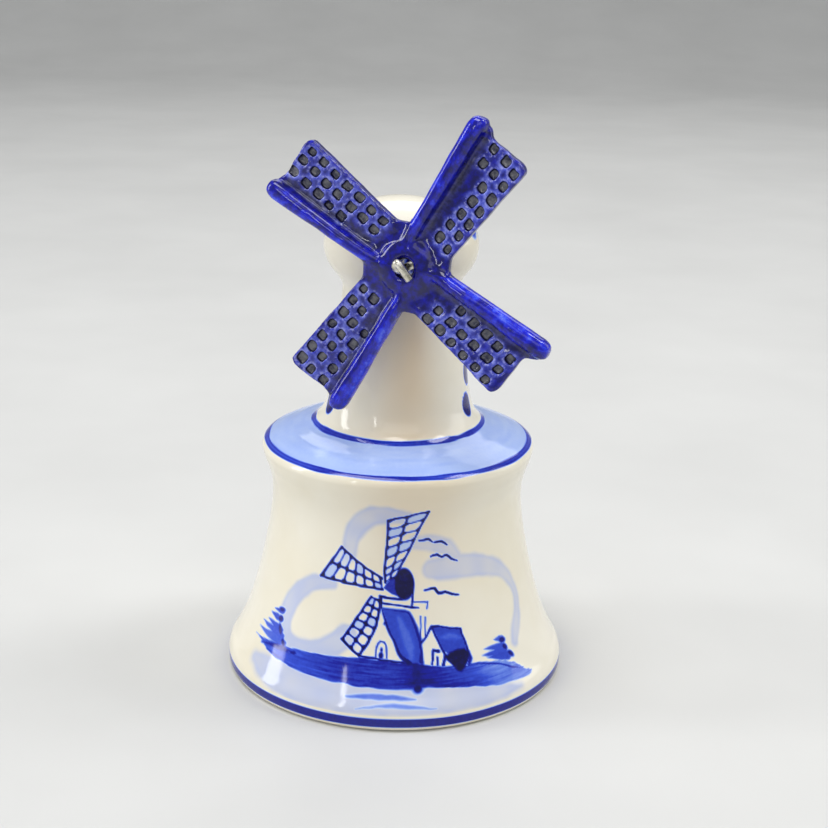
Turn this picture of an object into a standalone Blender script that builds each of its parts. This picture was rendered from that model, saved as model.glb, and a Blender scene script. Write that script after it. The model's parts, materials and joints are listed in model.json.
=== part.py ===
"""Porcelain windmill bell: a hollow glazed bell whose handle is a mill tower with turning sails.

Units are metres, +Z is up, the front (sail side) faces -Y. The origin is the centre of the
mouth, on the plane the bell stands on.
"""
import math

import bmesh
import bpy
from mathutils import Matrix, Vector

MM = 0.001

# ---------------------------------------------------------------- bell body, in millimetres
SEGMENTS = 48
RIM_INNER_R = 28.5
RIM_OUTER_R = 31.2
WAIST_R = 23.43
WAIST_Z = 35.0
SHOULDER_R = 25.27
SHOULDER_Z = 43.6
TOWER_FOOT_R = 15.7
TOWER_FOOT_Z = 48.3
NECK_R = 10.65
NECK_Z = 74.0
CAP_R = 14.0
CAP_Z = 81.5
CAP_RISE = 8.1
WALL = 2.6
CAP_WALL = 2.3

# ---------------------------------------------------------------- sail cross and its axle
HUB_CENTRE = Vector((0.91, -20.05, 81.08))
SAIL_YAW = math.radians(20.6)
SAIL_PITCH = math.radians(-4.6)
SAIL_TURN = math.radians(23.3)
SAIL_COUNT = 4
SAIL_LENGTH = 28.55
HUB_R = 4.7
HUB_BACK = -2.2
HUB_FRONT = 1.5
BORE_R = 1.5
BORE_MOUTH_R = 1.95
SPAR_TOP = 1.7
SPAR_BOTTOM = -1.9
PANEL_THICKNESS = 2.1
PIT_COLUMNS = ((7.0, 3.2, 0.295, 7), (7.9, 0.85, 0.28, 7), (14.2, -1.5, 0.255, 5))
PIT_PITCH = 2.74
PIT_SIZE = 1.7
PIT_DEPTH = 0.9
AXLE_WIRE_R = 0.7

# ---------------------------------------------------------------- clapper
PIVOT_Z = 47.2
BRIDGE_END_X = 11.2
BRIDGE_END_Z = 49.6
BRIDGE_WIRE_R = 0.7
CEMENT_R = 2.3
CEMENT_INNER_X = 9.2
CEMENT_OUTER_X = 10.6
CLAPPER_WIRE_R = 0.6
EYE_R = 1.8
EYE_DROP = 0.2
BEAD_R = 5.8
BEAD_Z = 16.5
BEAD_BORE_R = 0.95
GAP = 0.3


def clear_scene():
    """Remove whatever the file holds before building."""
    for item in list(bpy.data.objects):
        bpy.data.objects.remove(item, do_unlink=True)


def material(name, colour, roughness, metallic=0.0):
    """Make a Principled material."""
    made = bpy.data.materials.new(name)
    made.use_nodes = True
    shader = made.node_tree.nodes["Principled BSDF"]
    shader.inputs["Base Color"].default_value = (*colour, 1.0)
    shader.inputs["Roughness"].default_value = roughness
    shader.inputs["Metallic"].default_value = metallic
    return made


def object_from(name, mesh_data, finish=None):
    """Turn a bmesh, given in millimetres, into a linked object in metres."""
    bmesh.ops.scale(mesh_data, vec=(MM, MM, MM), verts=mesh_data.verts)
    bmesh.ops.recalc_face_normals(mesh_data, faces=mesh_data.faces)
    mesh = bpy.data.meshes.new(name)
    mesh_data.to_mesh(mesh)
    mesh_data.free()
    mesh.shade_smooth()
    mesh.set_sharp_from_angle(angle=math.radians(40))
    made = bpy.data.objects.new(name, mesh)
    bpy.context.scene.collection.objects.link(made)
    if finish:
        mesh.materials.append(finish)
    return made


def add_lathe(mesh_data, profile, segments, frame=Matrix.Identity(4)):
    """Turn a closed (radius, height) loop about the frame's Z axis; radius 0 makes a pole."""
    rings = []
    for radius, height in profile:
        if radius == 0.0:
            rings.append([mesh_data.verts.new(frame @ Vector((0.0, 0.0, height)))])
            continue
        ring = []
        for step in range(segments):
            angle = math.tau * step / segments
            spot = Vector((radius * math.cos(angle), radius * math.sin(angle), height))
            ring.append(mesh_data.verts.new(frame @ spot))
        rings.append(ring)
    for first, second in zip(rings, rings[1:] + rings[:1]):
        if len(first) == 1 and len(second) == 1:
            continue
        for step in range(segments):
            after = (step + 1) % segments
            corners = [first[step % len(first)], first[after % len(first)],
                       second[after % len(second)], second[step % len(second)]]
            mesh_data.faces.new(list(dict.fromkeys(corners)))


def smooth_curve(points, steps):
    """Points along a Catmull-Rom curve through the given vectors."""
    ends = [2 * points[0] - points[1]] + list(points) + [2 * points[-1] - points[-2]]
    curve = []
    for before, start, end, after in zip(ends, ends[1:], ends[2:], ends[3:]):
        for step in range(steps):
            t = step / steps
            curve.append(0.5 * (2 * start + (end - before) * t
                                + (2 * before - 5 * start + 4 * end - after) * t ** 2
                                + (3 * start - before - 3 * end + after) * t ** 3))
    curve.append(points[-1].copy())
    return curve


def wire_tube(name, path, radius, sides, finish):
    """A round wire along a path, with its ends closed by flat caps."""
    mesh_data = bmesh.new()
    side = (path[1] - path[0]).orthogonal().normalized()
    rings = []
    for index, spot in enumerate(path):
        ahead = path[min(index + 1, len(path) - 1)]
        behind = path[max(index - 1, 0)]
        along = (ahead - behind).normalized()
        side = (side - side.dot(along) * along).normalized()
        other = along.cross(side)
        ring = []
        for step in range(sides):
            angle = math.tau * step / sides
            offset = side * math.cos(angle) + other * math.sin(angle)
            ring.append(mesh_data.verts.new(spot + radius * offset))
        rings.append(ring)
    for first, second in zip(rings, rings[1:]):
        for step in range(sides):
            after = (step + 1) % sides
            mesh_data.faces.new((first[step], first[after], second[after], second[step]))
    mesh_data.faces.new(rings[0][::-1])
    mesh_data.faces.new(rings[-1])
    return object_from(name, mesh_data, finish)


def boolean(target, tool, operation):
    """Apply an exact Boolean to the target and remove the tool."""
    modifier = target.modifiers.new(operation.lower(), "BOOLEAN")
    modifier.operation = operation
    modifier.solver = "EXACT"
    modifier.object = tool
    bpy.context.view_layer.objects.active = target
    bpy.ops.object.modifier_apply(modifier=modifier.name)
    bpy.data.objects.remove(tool, do_unlink=True)


def hub_frame():
    """Matrix of the hub: X to the right and Y up in the sails' plane, Z out along the axle."""
    level = Vector((-math.sin(SAIL_YAW), -math.cos(SAIL_YAW), 0.0))
    right = Vector((math.cos(SAIL_YAW), -math.sin(SAIL_YAW), 0.0))
    up = math.cos(SAIL_PITCH) * Vector((0.0, 0.0, 1.0)) + math.sin(SAIL_PITCH) * level
    out = right.cross(up)
    turned = Matrix((right, up, out)).transposed().to_4x4()
    return Matrix.Translation(HUB_CENTRE) @ turned


# ---------------------------------------------------------------- bell body

def ellipse_arc(radius, rise, centre_z, steps):
    """Quarter ellipse from the axis outwards, ending at the full radius."""
    arc = []
    for step in range(steps + 1):
        angle = 0.5 * math.pi * (1 - step / steps)
        arc.append((radius * math.cos(angle) if step else 0.0, centre_z + rise * math.sin(angle)))
    return arc


def outer_profile():
    """Outer outline, from the crown of the cap down to the foot."""
    cap = ellipse_arc(CAP_R, CAP_RISE, CAP_Z, 6)
    underside = [(13.8, 79.4), (12.95, 77.4), (11.4, 75.3)]
    tower = [(NECK_R, NECK_Z), (10.7, 71.5), (11.4, 66.0), (12.2, 60.3), (12.95, 54.3),
             (13.6, 51.4), (14.6, 49.6)]
    shoulder = [(TOWER_FOOT_R, TOWER_FOOT_Z), (20.0, 46.72), (23.6, 45.3), (24.7, 44.7),
                (SHOULDER_R, SHOULDER_Z)]
    skirt = [(25.1, 42.5), (24.3, 40.0), (23.6, 37.3), (WAIST_R, WAIST_Z), (23.8, 30.0),
             (24.65, 25.0), (25.7, 20.0), (27.0, 15.0), (28.65, 10.0), (30.55, 6.0),
             (31.65, 4.0), (32.0, 2.6), (31.85, 1.0), (RIM_OUTER_R, 0.0)]
    return cap + underside + tower + shoulder + skirt


def inner_profile():
    """Inner outline, from the rim up the hollow skirt and tower to the inside of the cap."""
    skirt = [(RIM_INNER_R, 0.0), (29.0, 2.6), (28.0, 5.8), (26.1, 10.0), (24.4, 15.0),
             (23.1, 20.0), (22.05, 25.0), (21.2, 30.0), (20.85, 35.0), (20.9, 39.0)]
    crown = [(20.6, 41.6), (19.6, 43.1), (17.0, 44.4), (13.8, 45.8)]
    tower = [(12.4, 47.2), (11.8, 49.6), (11.1, 52.0), (10.4, 56.0), (9.7, 61.0), (8.8, 67.0),
             (8.25, NECK_Z)]
    cap_inside = [(9.6, 76.3), (11.0, 78.6)]
    dome = ellipse_arc(CAP_R - CAP_WALL, CAP_RISE - CAP_WALL, CAP_Z, 5)
    return skirt + crown + tower + cap_inside + dome[::-1]


def build_bell_body(finish):
    """One fired casting: skirt, shoulder, tower and cap, hollow all the way up."""
    mesh_data = bmesh.new()
    add_lathe(mesh_data, outer_profile() + inner_profile(), SEGMENTS)
    body = object_from("bell_body", mesh_data, finish)
    hole = bmesh.new()
    reach = 14.0
    start = -4.0
    radius = AXLE_WIRE_R + GAP
    loop = [(0.0, -reach), (radius, -reach), (radius, start), (0.0, start)]
    add_lathe(hole, loop, 16, hub_frame())
    boolean(body, object_from("axle_hole", hole), "DIFFERENCE")
    body.data.shade_smooth()
    body.data.set_sharp_from_angle(angle=math.radians(40))
    return body


# ---------------------------------------------------------------- sail cross

def spar_left(radial):
    """Clear edge of a spar, on its anticlockwise side, at a distance from the hub."""
    return -3.3 + 0.087 * radial


def spar_right(radial):
    """Panel-side edge of a spar at a distance from the hub."""
    return -0.9 + 0.123 * radial


def panel_top(across, radial):
    """Height of the lattice face, which rises from the spar towards its free edge."""
    return -0.1 + 0.13 * (across - spar_right(radial))


def add_loft(mesh_data, sections, frame):
    """Skin equal-length rings of points and close both ends."""
    rings = [[mesh_data.verts.new(frame @ spot) for spot in section] for section in sections]
    count = len(rings[0])
    for first, second in zip(rings, rings[1:]):
        for step in range(count):
            after = (step + 1) % count
            mesh_data.faces.new((first[step], first[after], second[after], second[step]))
    mesh_data.faces.new(rings[0][::-1])
    mesh_data.faces.new(rings[-1])


def spar_section(radial, shrink):
    """Rounded section of a spar; shrink narrows it towards the tip."""
    middle = 0.5 * (spar_left(radial) + spar_right(radial))
    half_width = 0.5 * (spar_right(radial) - spar_left(radial)) * shrink
    half_height = 0.5 * (SPAR_TOP - SPAR_BOTTOM) * (0.5 + 0.5 * shrink)
    level = 0.5 * (SPAR_TOP + SPAR_BOTTOM)
    section = []
    for step in range(12):
        angle = math.tau * (step + 0.5) / 12
        across = abs(math.cos(angle)) ** 0.7 * math.copysign(1, math.cos(angle))
        height = abs(math.sin(angle)) ** 0.7 * math.copysign(1, math.sin(angle))
        section.append(Vector((middle + half_width * across, radial, level + half_height * height)))
    return section


def add_spar(mesh_data, frame):
    """The thick rib along one edge of a sail, out to its round tip."""
    stations = [(0.5, 1.0), (8.0, 1.0), (18.0, 1.0), (26.6, 1.0), (27.7, 0.86),
                (28.3, 0.6), (SAIL_LENGTH, 0.3)]
    add_loft(mesh_data, [spar_section(radial, shrink) for radial, shrink in stations], frame)


def panel_outline():
    """Outline of a sail's lattice panel, tucked under its own spar and the next one."""
    corner = [(11.35, 23.3), (11.5, 24.1), (11.0, 24.9), (9.5, 25.3)]
    return [(-0.9, 2.2), (3.0, 1.2), (8.6, 1.4), (7.0, 3.2), (6.3, 5.4)] + corner + [
        (4.4, 26.1), (2.9, 26.7), (1.0, 26.9)]


def add_panel(mesh_data, frame):
    """A plate with a plain sloping face."""
    top = []
    bottom = []
    for across, radial in panel_outline():
        height = panel_top(across, radial)
        top.append(Vector((across, radial, height)))
        bottom.append(Vector((across, radial, max(height - PANEL_THICKNESS, SPAR_BOTTOM + 0.1))))
    add_loft(mesh_data, [bottom, top], frame)


def pit_centres():
    """Places of a sail's lattice pits, in columns that fan out with the panel."""
    spots = []
    for start, offset, slope, rows in PIT_COLUMNS:
        for row in range(rows):
            radial = start + PIT_PITCH * row
            spots.append((offset + slope * radial, radial))
    return spots


def add_pit(mesh_data, across, radial, frame):
    """A four-sided tapering cutter for one pit."""
    floor = panel_top(across, radial) - PIT_DEPTH
    rings = []
    for half, height in ((0.31 * PIT_SIZE, floor), (0.62 * PIT_SIZE, floor + 2 * PIT_DEPTH)):
        ring = []
        for x_sign, y_sign in ((-1, -1), (1, -1), (1, 1), (-1, 1)):
            corner = Vector((across + x_sign * half, radial + y_sign * half, height))
            corner.y -= 0.3 * (corner.x - across)
            corner.x += 0.28 * (corner.y - radial)
            ring.append(corner)
        rings.append(ring)
    add_loft(mesh_data, rings, frame)


def build_sail_cross(finish):
    """One fired casting: a hub with four spars, each carrying a pitted lattice panel."""
    edge = 0.7
    hub = bmesh.new()
    loop = [(0.0, HUB_BACK), (HUB_R - edge, HUB_BACK), (HUB_R, HUB_BACK + edge),
            (HUB_R, HUB_FRONT - edge), (HUB_R - edge, HUB_FRONT), (0.0, HUB_FRONT)]
    add_lathe(hub, loop, 32)
    cross = object_from("sail_cross", hub, finish)
    pits = bmesh.new()
    for index in range(SAIL_COUNT):
        turn = Matrix.Rotation(-math.tau * index / SAIL_COUNT, 4, "Z")
        for builder in (add_spar, add_panel):
            piece = bmesh.new()
            builder(piece, turn)
            boolean(cross, object_from("sail_piece", piece), "UNION")
        for across, radial in pit_centres():
            add_pit(pits, across, radial, turn)
    boolean(cross, object_from("pits", pits), "DIFFERENCE")
    bore = bmesh.new()
    lip = BORE_MOUTH_R - BORE_R
    loop = [(0.0, HUB_BACK - 1), (BORE_R, HUB_BACK - 1), (BORE_R, HUB_FRONT - lip),
            (BORE_MOUTH_R + 1, HUB_FRONT + 1), (0.0, HUB_FRONT + 1)]
    add_lathe(bore, loop, 24)
    boolean(cross, object_from("bore", bore), "DIFFERENCE")
    cross.data.shade_smooth()
    cross.data.set_sharp_from_angle(angle=math.radians(40))
    pose = hub_frame() @ Matrix.Rotation(-SAIL_TURN, 4, "Z")
    pose.translation *= MM
    cross.matrix_world = pose
    return cross


def build_axle_wire(finish):
    """Bent wire: up inside the cap, out through its wall and the hub, and hooked over in front."""
    inside = [Vector((0.0, 4.2, -15.3)), Vector((0.0, 2.8, -15.3)), Vector((0.0, 1.2, -15.0)),
              Vector((0.0, 0.2, -13.9))]
    shank = [Vector((0.0, 0.0, -10.2)), Vector((0.0, 0.0, -5.0)), Vector((0.0, 0.0, 0.0))]
    hook = [Vector((-0.15, -0.25, 1.4)), Vector((-0.62, -0.2, 2.3)), Vector((-0.85, 0.55, 3.0)),
            Vector((-0.45, 1.05, 3.35)), Vector((0.25, 0.35, 3.3)), Vector((1.0, -0.75, 2.95)),
            Vector((1.65, -1.75, 2.6))]
    frame = hub_frame()
    path = smooth_curve([frame @ spot for spot in inside + shank + hook], 3)
    return wire_tube("axle_wire", path, AXLE_WIRE_R, 10, finish)


# ---------------------------------------------------------------- clapper

def build_clapper_bridge(finish):
    """Wire across the throat, dipping in the middle to carry the clapper's eye."""
    half = [Vector((1.0, 0.0, PIVOT_Z)), Vector((2.6, 0.0, PIVOT_Z + 0.15)),
            Vector((6.0, 0.0, BRIDGE_END_Z - 0.7)), Vector((8.4, 0.0, BRIDGE_END_Z)),
            Vector((BRIDGE_END_X, 0.0, BRIDGE_END_Z))]
    mirrored = [Vector((-spot.x, spot.y, spot.z)) for spot in reversed(half)]
    path = smooth_curve(mirrored + half, 3)
    return wire_tube("clapper_bridge", path, BRIDGE_WIRE_R, 10, finish)


def build_cement(name, side, finish):
    """Collar of cement that fixes one end of the bridge to the wall of the throat."""
    mesh_data = bmesh.new()
    hole = BRIDGE_WIRE_R + GAP
    soft = 0.6
    loop = [(hole, CEMENT_INNER_X), (CEMENT_R - soft, CEMENT_INNER_X),
            (CEMENT_R, CEMENT_INNER_X + soft), (CEMENT_R, CEMENT_OUTER_X), (hole, CEMENT_OUTER_X)]
    frame = Matrix.Translation((0.0, 0.0, BRIDGE_END_Z)) @ Matrix.Rotation(side * math.pi / 2, 4, "Y")
    add_lathe(mesh_data, loop, 20, frame)
    return object_from(name, mesh_data, finish)


def build_clapper_wire(finish):
    """Wire with an eye round the bridge, a long shank, and a foot bent under the bead."""
    eye_z = PIVOT_Z - EYE_DROP
    path = []
    for step in range(15):
        angle = math.radians(-62 + 304 * step / 14)
        path.append(Vector((0.0, EYE_R * math.cos(angle), eye_z + EYE_R * math.sin(angle))))
    below = BEAD_Z - BEAD_R
    path += [Vector((0.0, -0.25, eye_z - EYE_R - 0.35)), Vector((0.0, 0.0, eye_z - EYE_R - 1.6)),
             Vector((0.0, 0.0, 31.0)), Vector((0.0, 0.0, BEAD_Z)), Vector((0.0, 0.0, below - 0.1)),
             Vector((0.0, 0.35, below - 0.85)), Vector((0.0, 1.2, below - 1.1)),
             Vector((0.0, 2.6, below - 1.1))]
    wire = wire_tube("clapper_wire", path, CLAPPER_WIRE_R, 10, finish)
    move_origin(wire, Vector((0.0, 0.0, PIVOT_Z)))
    return wire


def build_clapper_bead(finish):
    """Round bead with a hole down its axis."""
    mesh_data = bmesh.new()
    steps = 14
    start = math.asin(BEAD_BORE_R / BEAD_R)
    loop = []
    for step in range(steps + 1):
        angle = start + (math.pi - 2 * start) * step / steps
        loop.append((BEAD_R * math.sin(angle), BEAD_Z + BEAD_R * math.cos(angle)))
    add_lathe(mesh_data, loop, 24)
    bead = object_from("clapper_bead", mesh_data, finish)
    move_origin(bead, Vector((0.0, 0.0, PIVOT_Z)))
    return bead


def move_origin(item, spot):
    """Put an object's origin on a point, given in millimetres, without moving its shape."""
    item.data.transform(Matrix.Translation(-spot * MM))
    item.location = spot * MM


def main():
    clear_scene()
    porcelain = material("white_glazed_porcelain", (0.86, 0.83, 0.75), 0.08)
    cobalt = material("cobalt_glazed_porcelain", (0.03, 0.04, 0.42), 0.08)
    steel = material("wire_steel", (0.62, 0.6, 0.54), 0.3, 1.0)
    cement = material("cement", (0.74, 0.72, 0.67), 0.85)
    build_bell_body(porcelain)
    build_sail_cross(cobalt)
    build_axle_wire(steel)
    build_clapper_bridge(steel)
    build_cement("bridge_cement_left", -1, cement)
    build_cement("bridge_cement_right", 1, cement)
    build_clapper_wire(steel)
    build_clapper_bead(porcelain)


main()
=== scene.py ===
import json
import math

import bmesh
import bpy
import numpy as np
from mathutils import Matrix, Vector


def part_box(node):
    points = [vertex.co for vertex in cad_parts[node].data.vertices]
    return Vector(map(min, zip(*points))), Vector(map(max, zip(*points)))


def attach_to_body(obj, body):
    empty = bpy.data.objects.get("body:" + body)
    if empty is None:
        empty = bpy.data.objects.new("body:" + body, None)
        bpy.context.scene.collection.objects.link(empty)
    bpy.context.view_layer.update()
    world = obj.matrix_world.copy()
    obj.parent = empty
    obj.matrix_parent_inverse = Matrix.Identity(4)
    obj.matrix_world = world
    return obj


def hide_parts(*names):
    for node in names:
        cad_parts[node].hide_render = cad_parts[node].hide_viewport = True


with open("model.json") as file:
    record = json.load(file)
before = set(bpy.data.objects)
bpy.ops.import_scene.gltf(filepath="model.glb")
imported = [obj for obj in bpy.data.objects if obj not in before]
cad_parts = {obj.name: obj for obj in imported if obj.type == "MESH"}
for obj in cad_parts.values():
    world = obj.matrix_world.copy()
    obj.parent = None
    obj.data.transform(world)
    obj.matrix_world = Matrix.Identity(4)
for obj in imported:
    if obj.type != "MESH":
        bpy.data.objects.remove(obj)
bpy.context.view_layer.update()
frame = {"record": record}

# Lengths are in millimetres unless a comment says metres. Angles round the bell, the azimuths,
# start at the front (-Y) and grow towards +X.
MM = 0.001

# ---------------------------------------------------------------- sizes taken from the frame
RECORD = frame["record"]
JOINTS = {joint["name"]: joint for joint in RECORD["behaviour"]["joints"]}
BODY_HIGH = np.array(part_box("bell_body")[1]) / MM
RIM_R, CROWN_Z = float(BODY_HIGH[0]), float(BODY_HIGH[2])
HUB = np.array(JOINTS["sail_spin"]["pos_m"]) / MM
AXLE = np.array(JOINTS["sail_spin"]["axis"])
PIVOT_Z = float(JOINTS["clapper_swing"]["pos_m"][2] / MM)

# ---------------------------------------------------------------- bell body
CAP_Z = 81.5                    # height of the cap's widest ring
SHOULDER_LINE = (24.4, 44.9)    # (radius, height) of the cobalt line round the shoulder
TOWER_LINE = (15.7, 48.3)       # and of the line round the tower's foot
LINE_HALF_WIDTH = 0.52
BAND_LOW, BAND_HIGH = 0.95, 2.6  # heights of the cobalt band at the rim
SKIN = 0.03                     # how far the looks stay inside the CAD body
SHARP_ANGLE = math.radians(40)

# Turned meshes: columns stand COARSE_STEP degrees apart, with FINE_PER_COARSE times as many in
# front, over FRONT_STEPS coarse steps to each side. Rows have the spacings named here.
COARSE_STEP = 1.8
FINE_PER_COARSE = 4
FRONT_STEPS = 38
FULL_TURN = round(360 / COARSE_STEP) * FINE_PER_COARSE
COARSE = np.arange(0, FULL_TURN, FINE_PER_COARSE)
FRONT_HALF = FRONT_STEPS * FINE_PER_COARSE
FINE = np.unique(np.concatenate([COARSE, np.arange(FRONT_HALF + 1),
                                 np.arange(FULL_TURN - FRONT_HALF, FULL_TURN)]))
PAINT_ROW, SHOULDER_ROW, BAND_ROW = 0.22, 0.18, 0.16
CAP_ROW, TOWER_ROW, TOWER_LINE_ROW, LINING_ROW = 0.7, 0.6, 0.19, 1.3

# The painting: heights it lies between, and the radius at which its sheet has its true width.
PAINT_LOW, PAINT_HIGH = 3.2, 39.5
PAINT_R = 26.5
FLANK_SCALE = 0.22              # width on the tower's sheet per degree of azimuth
PANE_INSET = 0.25
PANE_CUT = 0.2                  # share of a pane's side that its cut corner takes
PANE_TINTS = (0.02, 0.03, 0.06, 0.1, 0.16)
SHOULDER_INK = 0.235            # ink runs from 0, bare glaze, to 1, the deepest cobalt
HOLE_R = 1.0
BORE_SHADE_R = 2.3                   # radius of the painted shade round the hole

# ---------------------------------------------------------------- sails
SAIL_TURN = math.radians(23.3)
SAIL_COUNT = 4
VOXEL = 0.2
SPAR_LENGTH = 28.3
SPAR_SIDES = 20
PANEL_BACK = -1.85
PANEL_DEPTH = 2.2
HUB_SIDES = 48
BORE_SIDES = 40
BORE_R = 1.5
PIT_HALF = 0.76
PIT_CORNER = 0.42
PIT_DEPTH = 0.8
FIRST_PIT = 6.0                 # no pit lies nearer to the hub than this
# Casting differences of the four sails, clockwise from the upper right one: how much shorter the
# panel is, how far from the spar the first pits stand, and the (across, radial) shift of the pits.
TIP_TRIM = (0.5, 1.6, 0.0, 0.0)
SMOOTH_INNER = (2.4, 0.9, 0.9, 0.9)
PIT_SHIFT = ((-0.1, -0.7), (-0.15, -2.4), (-0.1, -0.1), (-0.15, 0.0))

# ---------------------------------------------------------------- wires, cement and bead
WIRE_R = 0.7
WIRE_TIP = 0.25                 # share of a wire's radius that its end is rounded off by
CLAPPER_WIRE_R = 0.6
EYE_R = 1.8
BRIDGE_END_RISE = 2.4
CEMENT_SIDES = 40
BEAD_R = 5.8
BEAD_Z = 16.5
BEAD_BORE_R = 0.95

# ---------------------------------------------------------------- camera and lights
# Places are in metres, angles in degrees and the lens in millimetres.
CAMERA_BACK = 0.28547
CAMERA_HEIGHT = 0.1399
CAMERA_YAW = 0.578
CAMERA_PITCH = 17.685
CAMERA_ROLL = 1.184
CAMERA_LENS = 70.1
LIGHT_TARGET = (0.0, 0.0, 0.055)


def srgb(red, green, blue):
    """Linear colour from 8-bit display values."""
    values = np.array([red, green, blue]) / 255.0
    linear = np.where(values <= 0.04045, values / 12.92, ((values + 0.055) / 1.055) ** 2.4)
    return (*linear.tolist(), 1.0)


# ================================================================ curves and meshes

def smooth_points(points, spacing):
    """Points along a smooth curve through the given ones, about a spacing apart in each span."""
    points = np.array(points, dtype=float)
    chords = np.linalg.norm(np.diff(points, axis=0), axis=1)
    slopes = np.diff(points, axis=0) / chords[:, None]
    tangents = np.empty_like(points)
    tangents[0] = slopes[0]
    tangents[-1] = slopes[-1]
    before = chords[:-1, None]
    after = chords[1:, None]
    tangents[1:-1] = (slopes[:-1] * after + slopes[1:] * before) / (before + after)
    spacings = [spacing] * len(chords) if np.isscalar(spacing) else spacing
    curve = []
    for index, chord in enumerate(chords):
        steps = max(1, math.ceil(chord / spacings[index]))
        for t in np.arange(steps) / steps:
            start, end = points[index], points[index + 1]
            lean_out, lean_in = tangents[index] * chord, tangents[index + 1] * chord
            curve.append((2 * t**3 - 3 * t**2 + 1) * start + (t**3 - 2 * t**2 + t) * lean_out
                         + (3 * t**2 - 2 * t**3) * end + (t**3 - t**2) * lean_in)
    curve.append(points[-1])
    return np.array(curve)


def link_object(name, data):
    """A new object in the scene."""
    made = bpy.data.objects.new(name, data)
    bpy.context.scene.collection.objects.link(made)
    return made


def piece_from(name, vertices, faces):
    """A smooth-shaded mesh object; vertices come in millimetres."""
    mesh = bpy.data.meshes.new(name)
    mesh.from_pydata((np.asarray(vertices) * MM).tolist(), [], faces)
    mesh.update()
    mesh.shade_smooth()
    mesh.set_sharp_from_angle(angle=SHARP_ANGLE)
    return link_object(name, mesh)


def piece_from_bmesh(name, shape):
    """An object that takes over a bmesh."""
    mesh = bpy.data.meshes.new(name)
    shape.to_mesh(mesh)
    shape.free()
    return link_object(name, mesh)


def vertex_rows(piece, name):
    """Three numbers per vertex: its "co", in the mesh's own units, or its "normal"."""
    flat = np.empty(3 * len(piece.data.vertices), dtype=np.float32)
    piece.data.vertices.foreach_get(name, flat)
    return flat.reshape(-1, 3)


def positions(piece):
    """The piece's vertices as an array in millimetres."""
    return vertex_rows(piece, "co").astype(float) / MM


def set_positions(piece, spots):
    """Move the piece's vertices to an array of places in millimetres."""
    piece.data.vertices.foreach_set("co", (spots * MM).astype(np.float32).ravel())
    piece.data.update()


def store(piece, name, values):
    """Keep one number or one vector per vertex for the material to read."""
    kind, field = ("FLOAT", "value") if values.ndim == 1 else ("FLOAT_VECTOR", "vector")
    layer = piece.data.attributes.new(name, kind, "POINT")
    layer.data.foreach_set(field, np.ascontiguousarray(values, dtype=np.float32).ravel())


def subtract(piece, cutter):
    """Add a modifier that cuts one closed shape out of a piece."""
    modifier = piece.modifiers.new(cutter.name, "BOOLEAN")
    modifier.object = cutter
    modifier.operation = "DIFFERENCE"
    modifier.solver = "EXACT"


def fuse(piece):
    """Add a modifier that makes one skin of a piece's overlapping shapes."""
    modifier = piece.modifiers.new("fuse", "REMESH")
    modifier.mode = "VOXEL"
    modifier.voxel_size = VOXEL * 1


def bake_modifiers(piece):
    """Replace the piece's mesh with its modified shape."""
    graph = bpy.context.evaluated_depsgraph_get()
    graph.update()
    shaped = bpy.data.meshes.new_from_object(piece.evaluated_get(graph))
    piece.modifiers.clear()
    piece.data = shaped
    shaped.shade_smooth()
    shaped.set_sharp_from_angle(angle=SHARP_ANGLE)


def strip_faces(rows, sides, closed=False):
    """Quads between neighbouring rings of a mesh whose vertices come ring by ring."""
    faces = []
    for row in range(rows if closed else rows - 1):
        here, there = row * sides, (row + 1) % rows * sides
        for step in range(sides):
            after = (step + 1) % sides
            faces.append((here + step, here + after, there + after, there + step))
    return faces


def turned_mesh(profile, columns, closed):
    """Vertices and faces of a profile turned about Z.

    profile holds (radius, height) from the top down the outside; columns holds, for each point,
    the angles used there as whole numbers of a common small step, or None at a pole. Where two
    neighbouring rings differ, the finer one holds every angle of the coarser.
    """
    turn = 2 * math.pi / FULL_TURN
    vertices, starts = [], []
    for (radius, height), ring in zip(profile, columns):
        starts.append(len(vertices))
        if ring is None:
            vertices.append((0.0, 0.0, height))
            continue
        angles = ring * turn
        ring_points = np.column_stack([radius * np.sin(angles), -radius * np.cos(angles),
                                       np.full(len(ring), height)])
        vertices.extend(map(tuple, ring_points))
    faces = []
    last = len(profile) if closed else len(profile) - 1
    for upper in range(last):
        lower = (upper + 1) % len(profile)
        faces += ring_faces(columns[upper], starts[upper], columns[lower], starts[lower])
    return vertices, faces


def ring_faces(upper, upper_start, lower, lower_start):
    """Faces between two rings of a turned mesh."""
    if upper is None or lower is None:
        ring = lower if upper is None else upper
        base = lower_start if upper is None else upper_start
        pole = upper_start if upper is None else lower_start
        pairs = [(base + step, base + (step + 1) % len(ring)) for step in range(len(ring))]
        return [(pole, a, b) if upper is None else (pole, b, a) for a, b in pairs]
    if len(upper) == len(lower):
        here = np.arange(len(upper))
        after = (here + 1) % len(upper)
        quads = np.column_stack([upper_start + here, lower_start + here,
                                 lower_start + after, upper_start + after])
        return quads.tolist()
    coarse, fine = (upper, lower) if len(upper) < len(lower) else (lower, upper)
    coarse_base, fine_base = (upper_start, lower_start) if coarse is upper else (lower_start, upper_start)
    place = np.searchsorted(fine, coarse)
    faces = []
    for step in range(len(coarse)):
        after = (step + 1) % len(coarse)
        stop = place[after] if after else len(fine)
        run = [fine_base + index % len(fine) for index in range(place[step], stop + 1)]
        face = [coarse_base + step] + run + [coarse_base + after]
        faces.append(tuple(face if coarse is upper else face[::-1]))
    return faces


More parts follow.
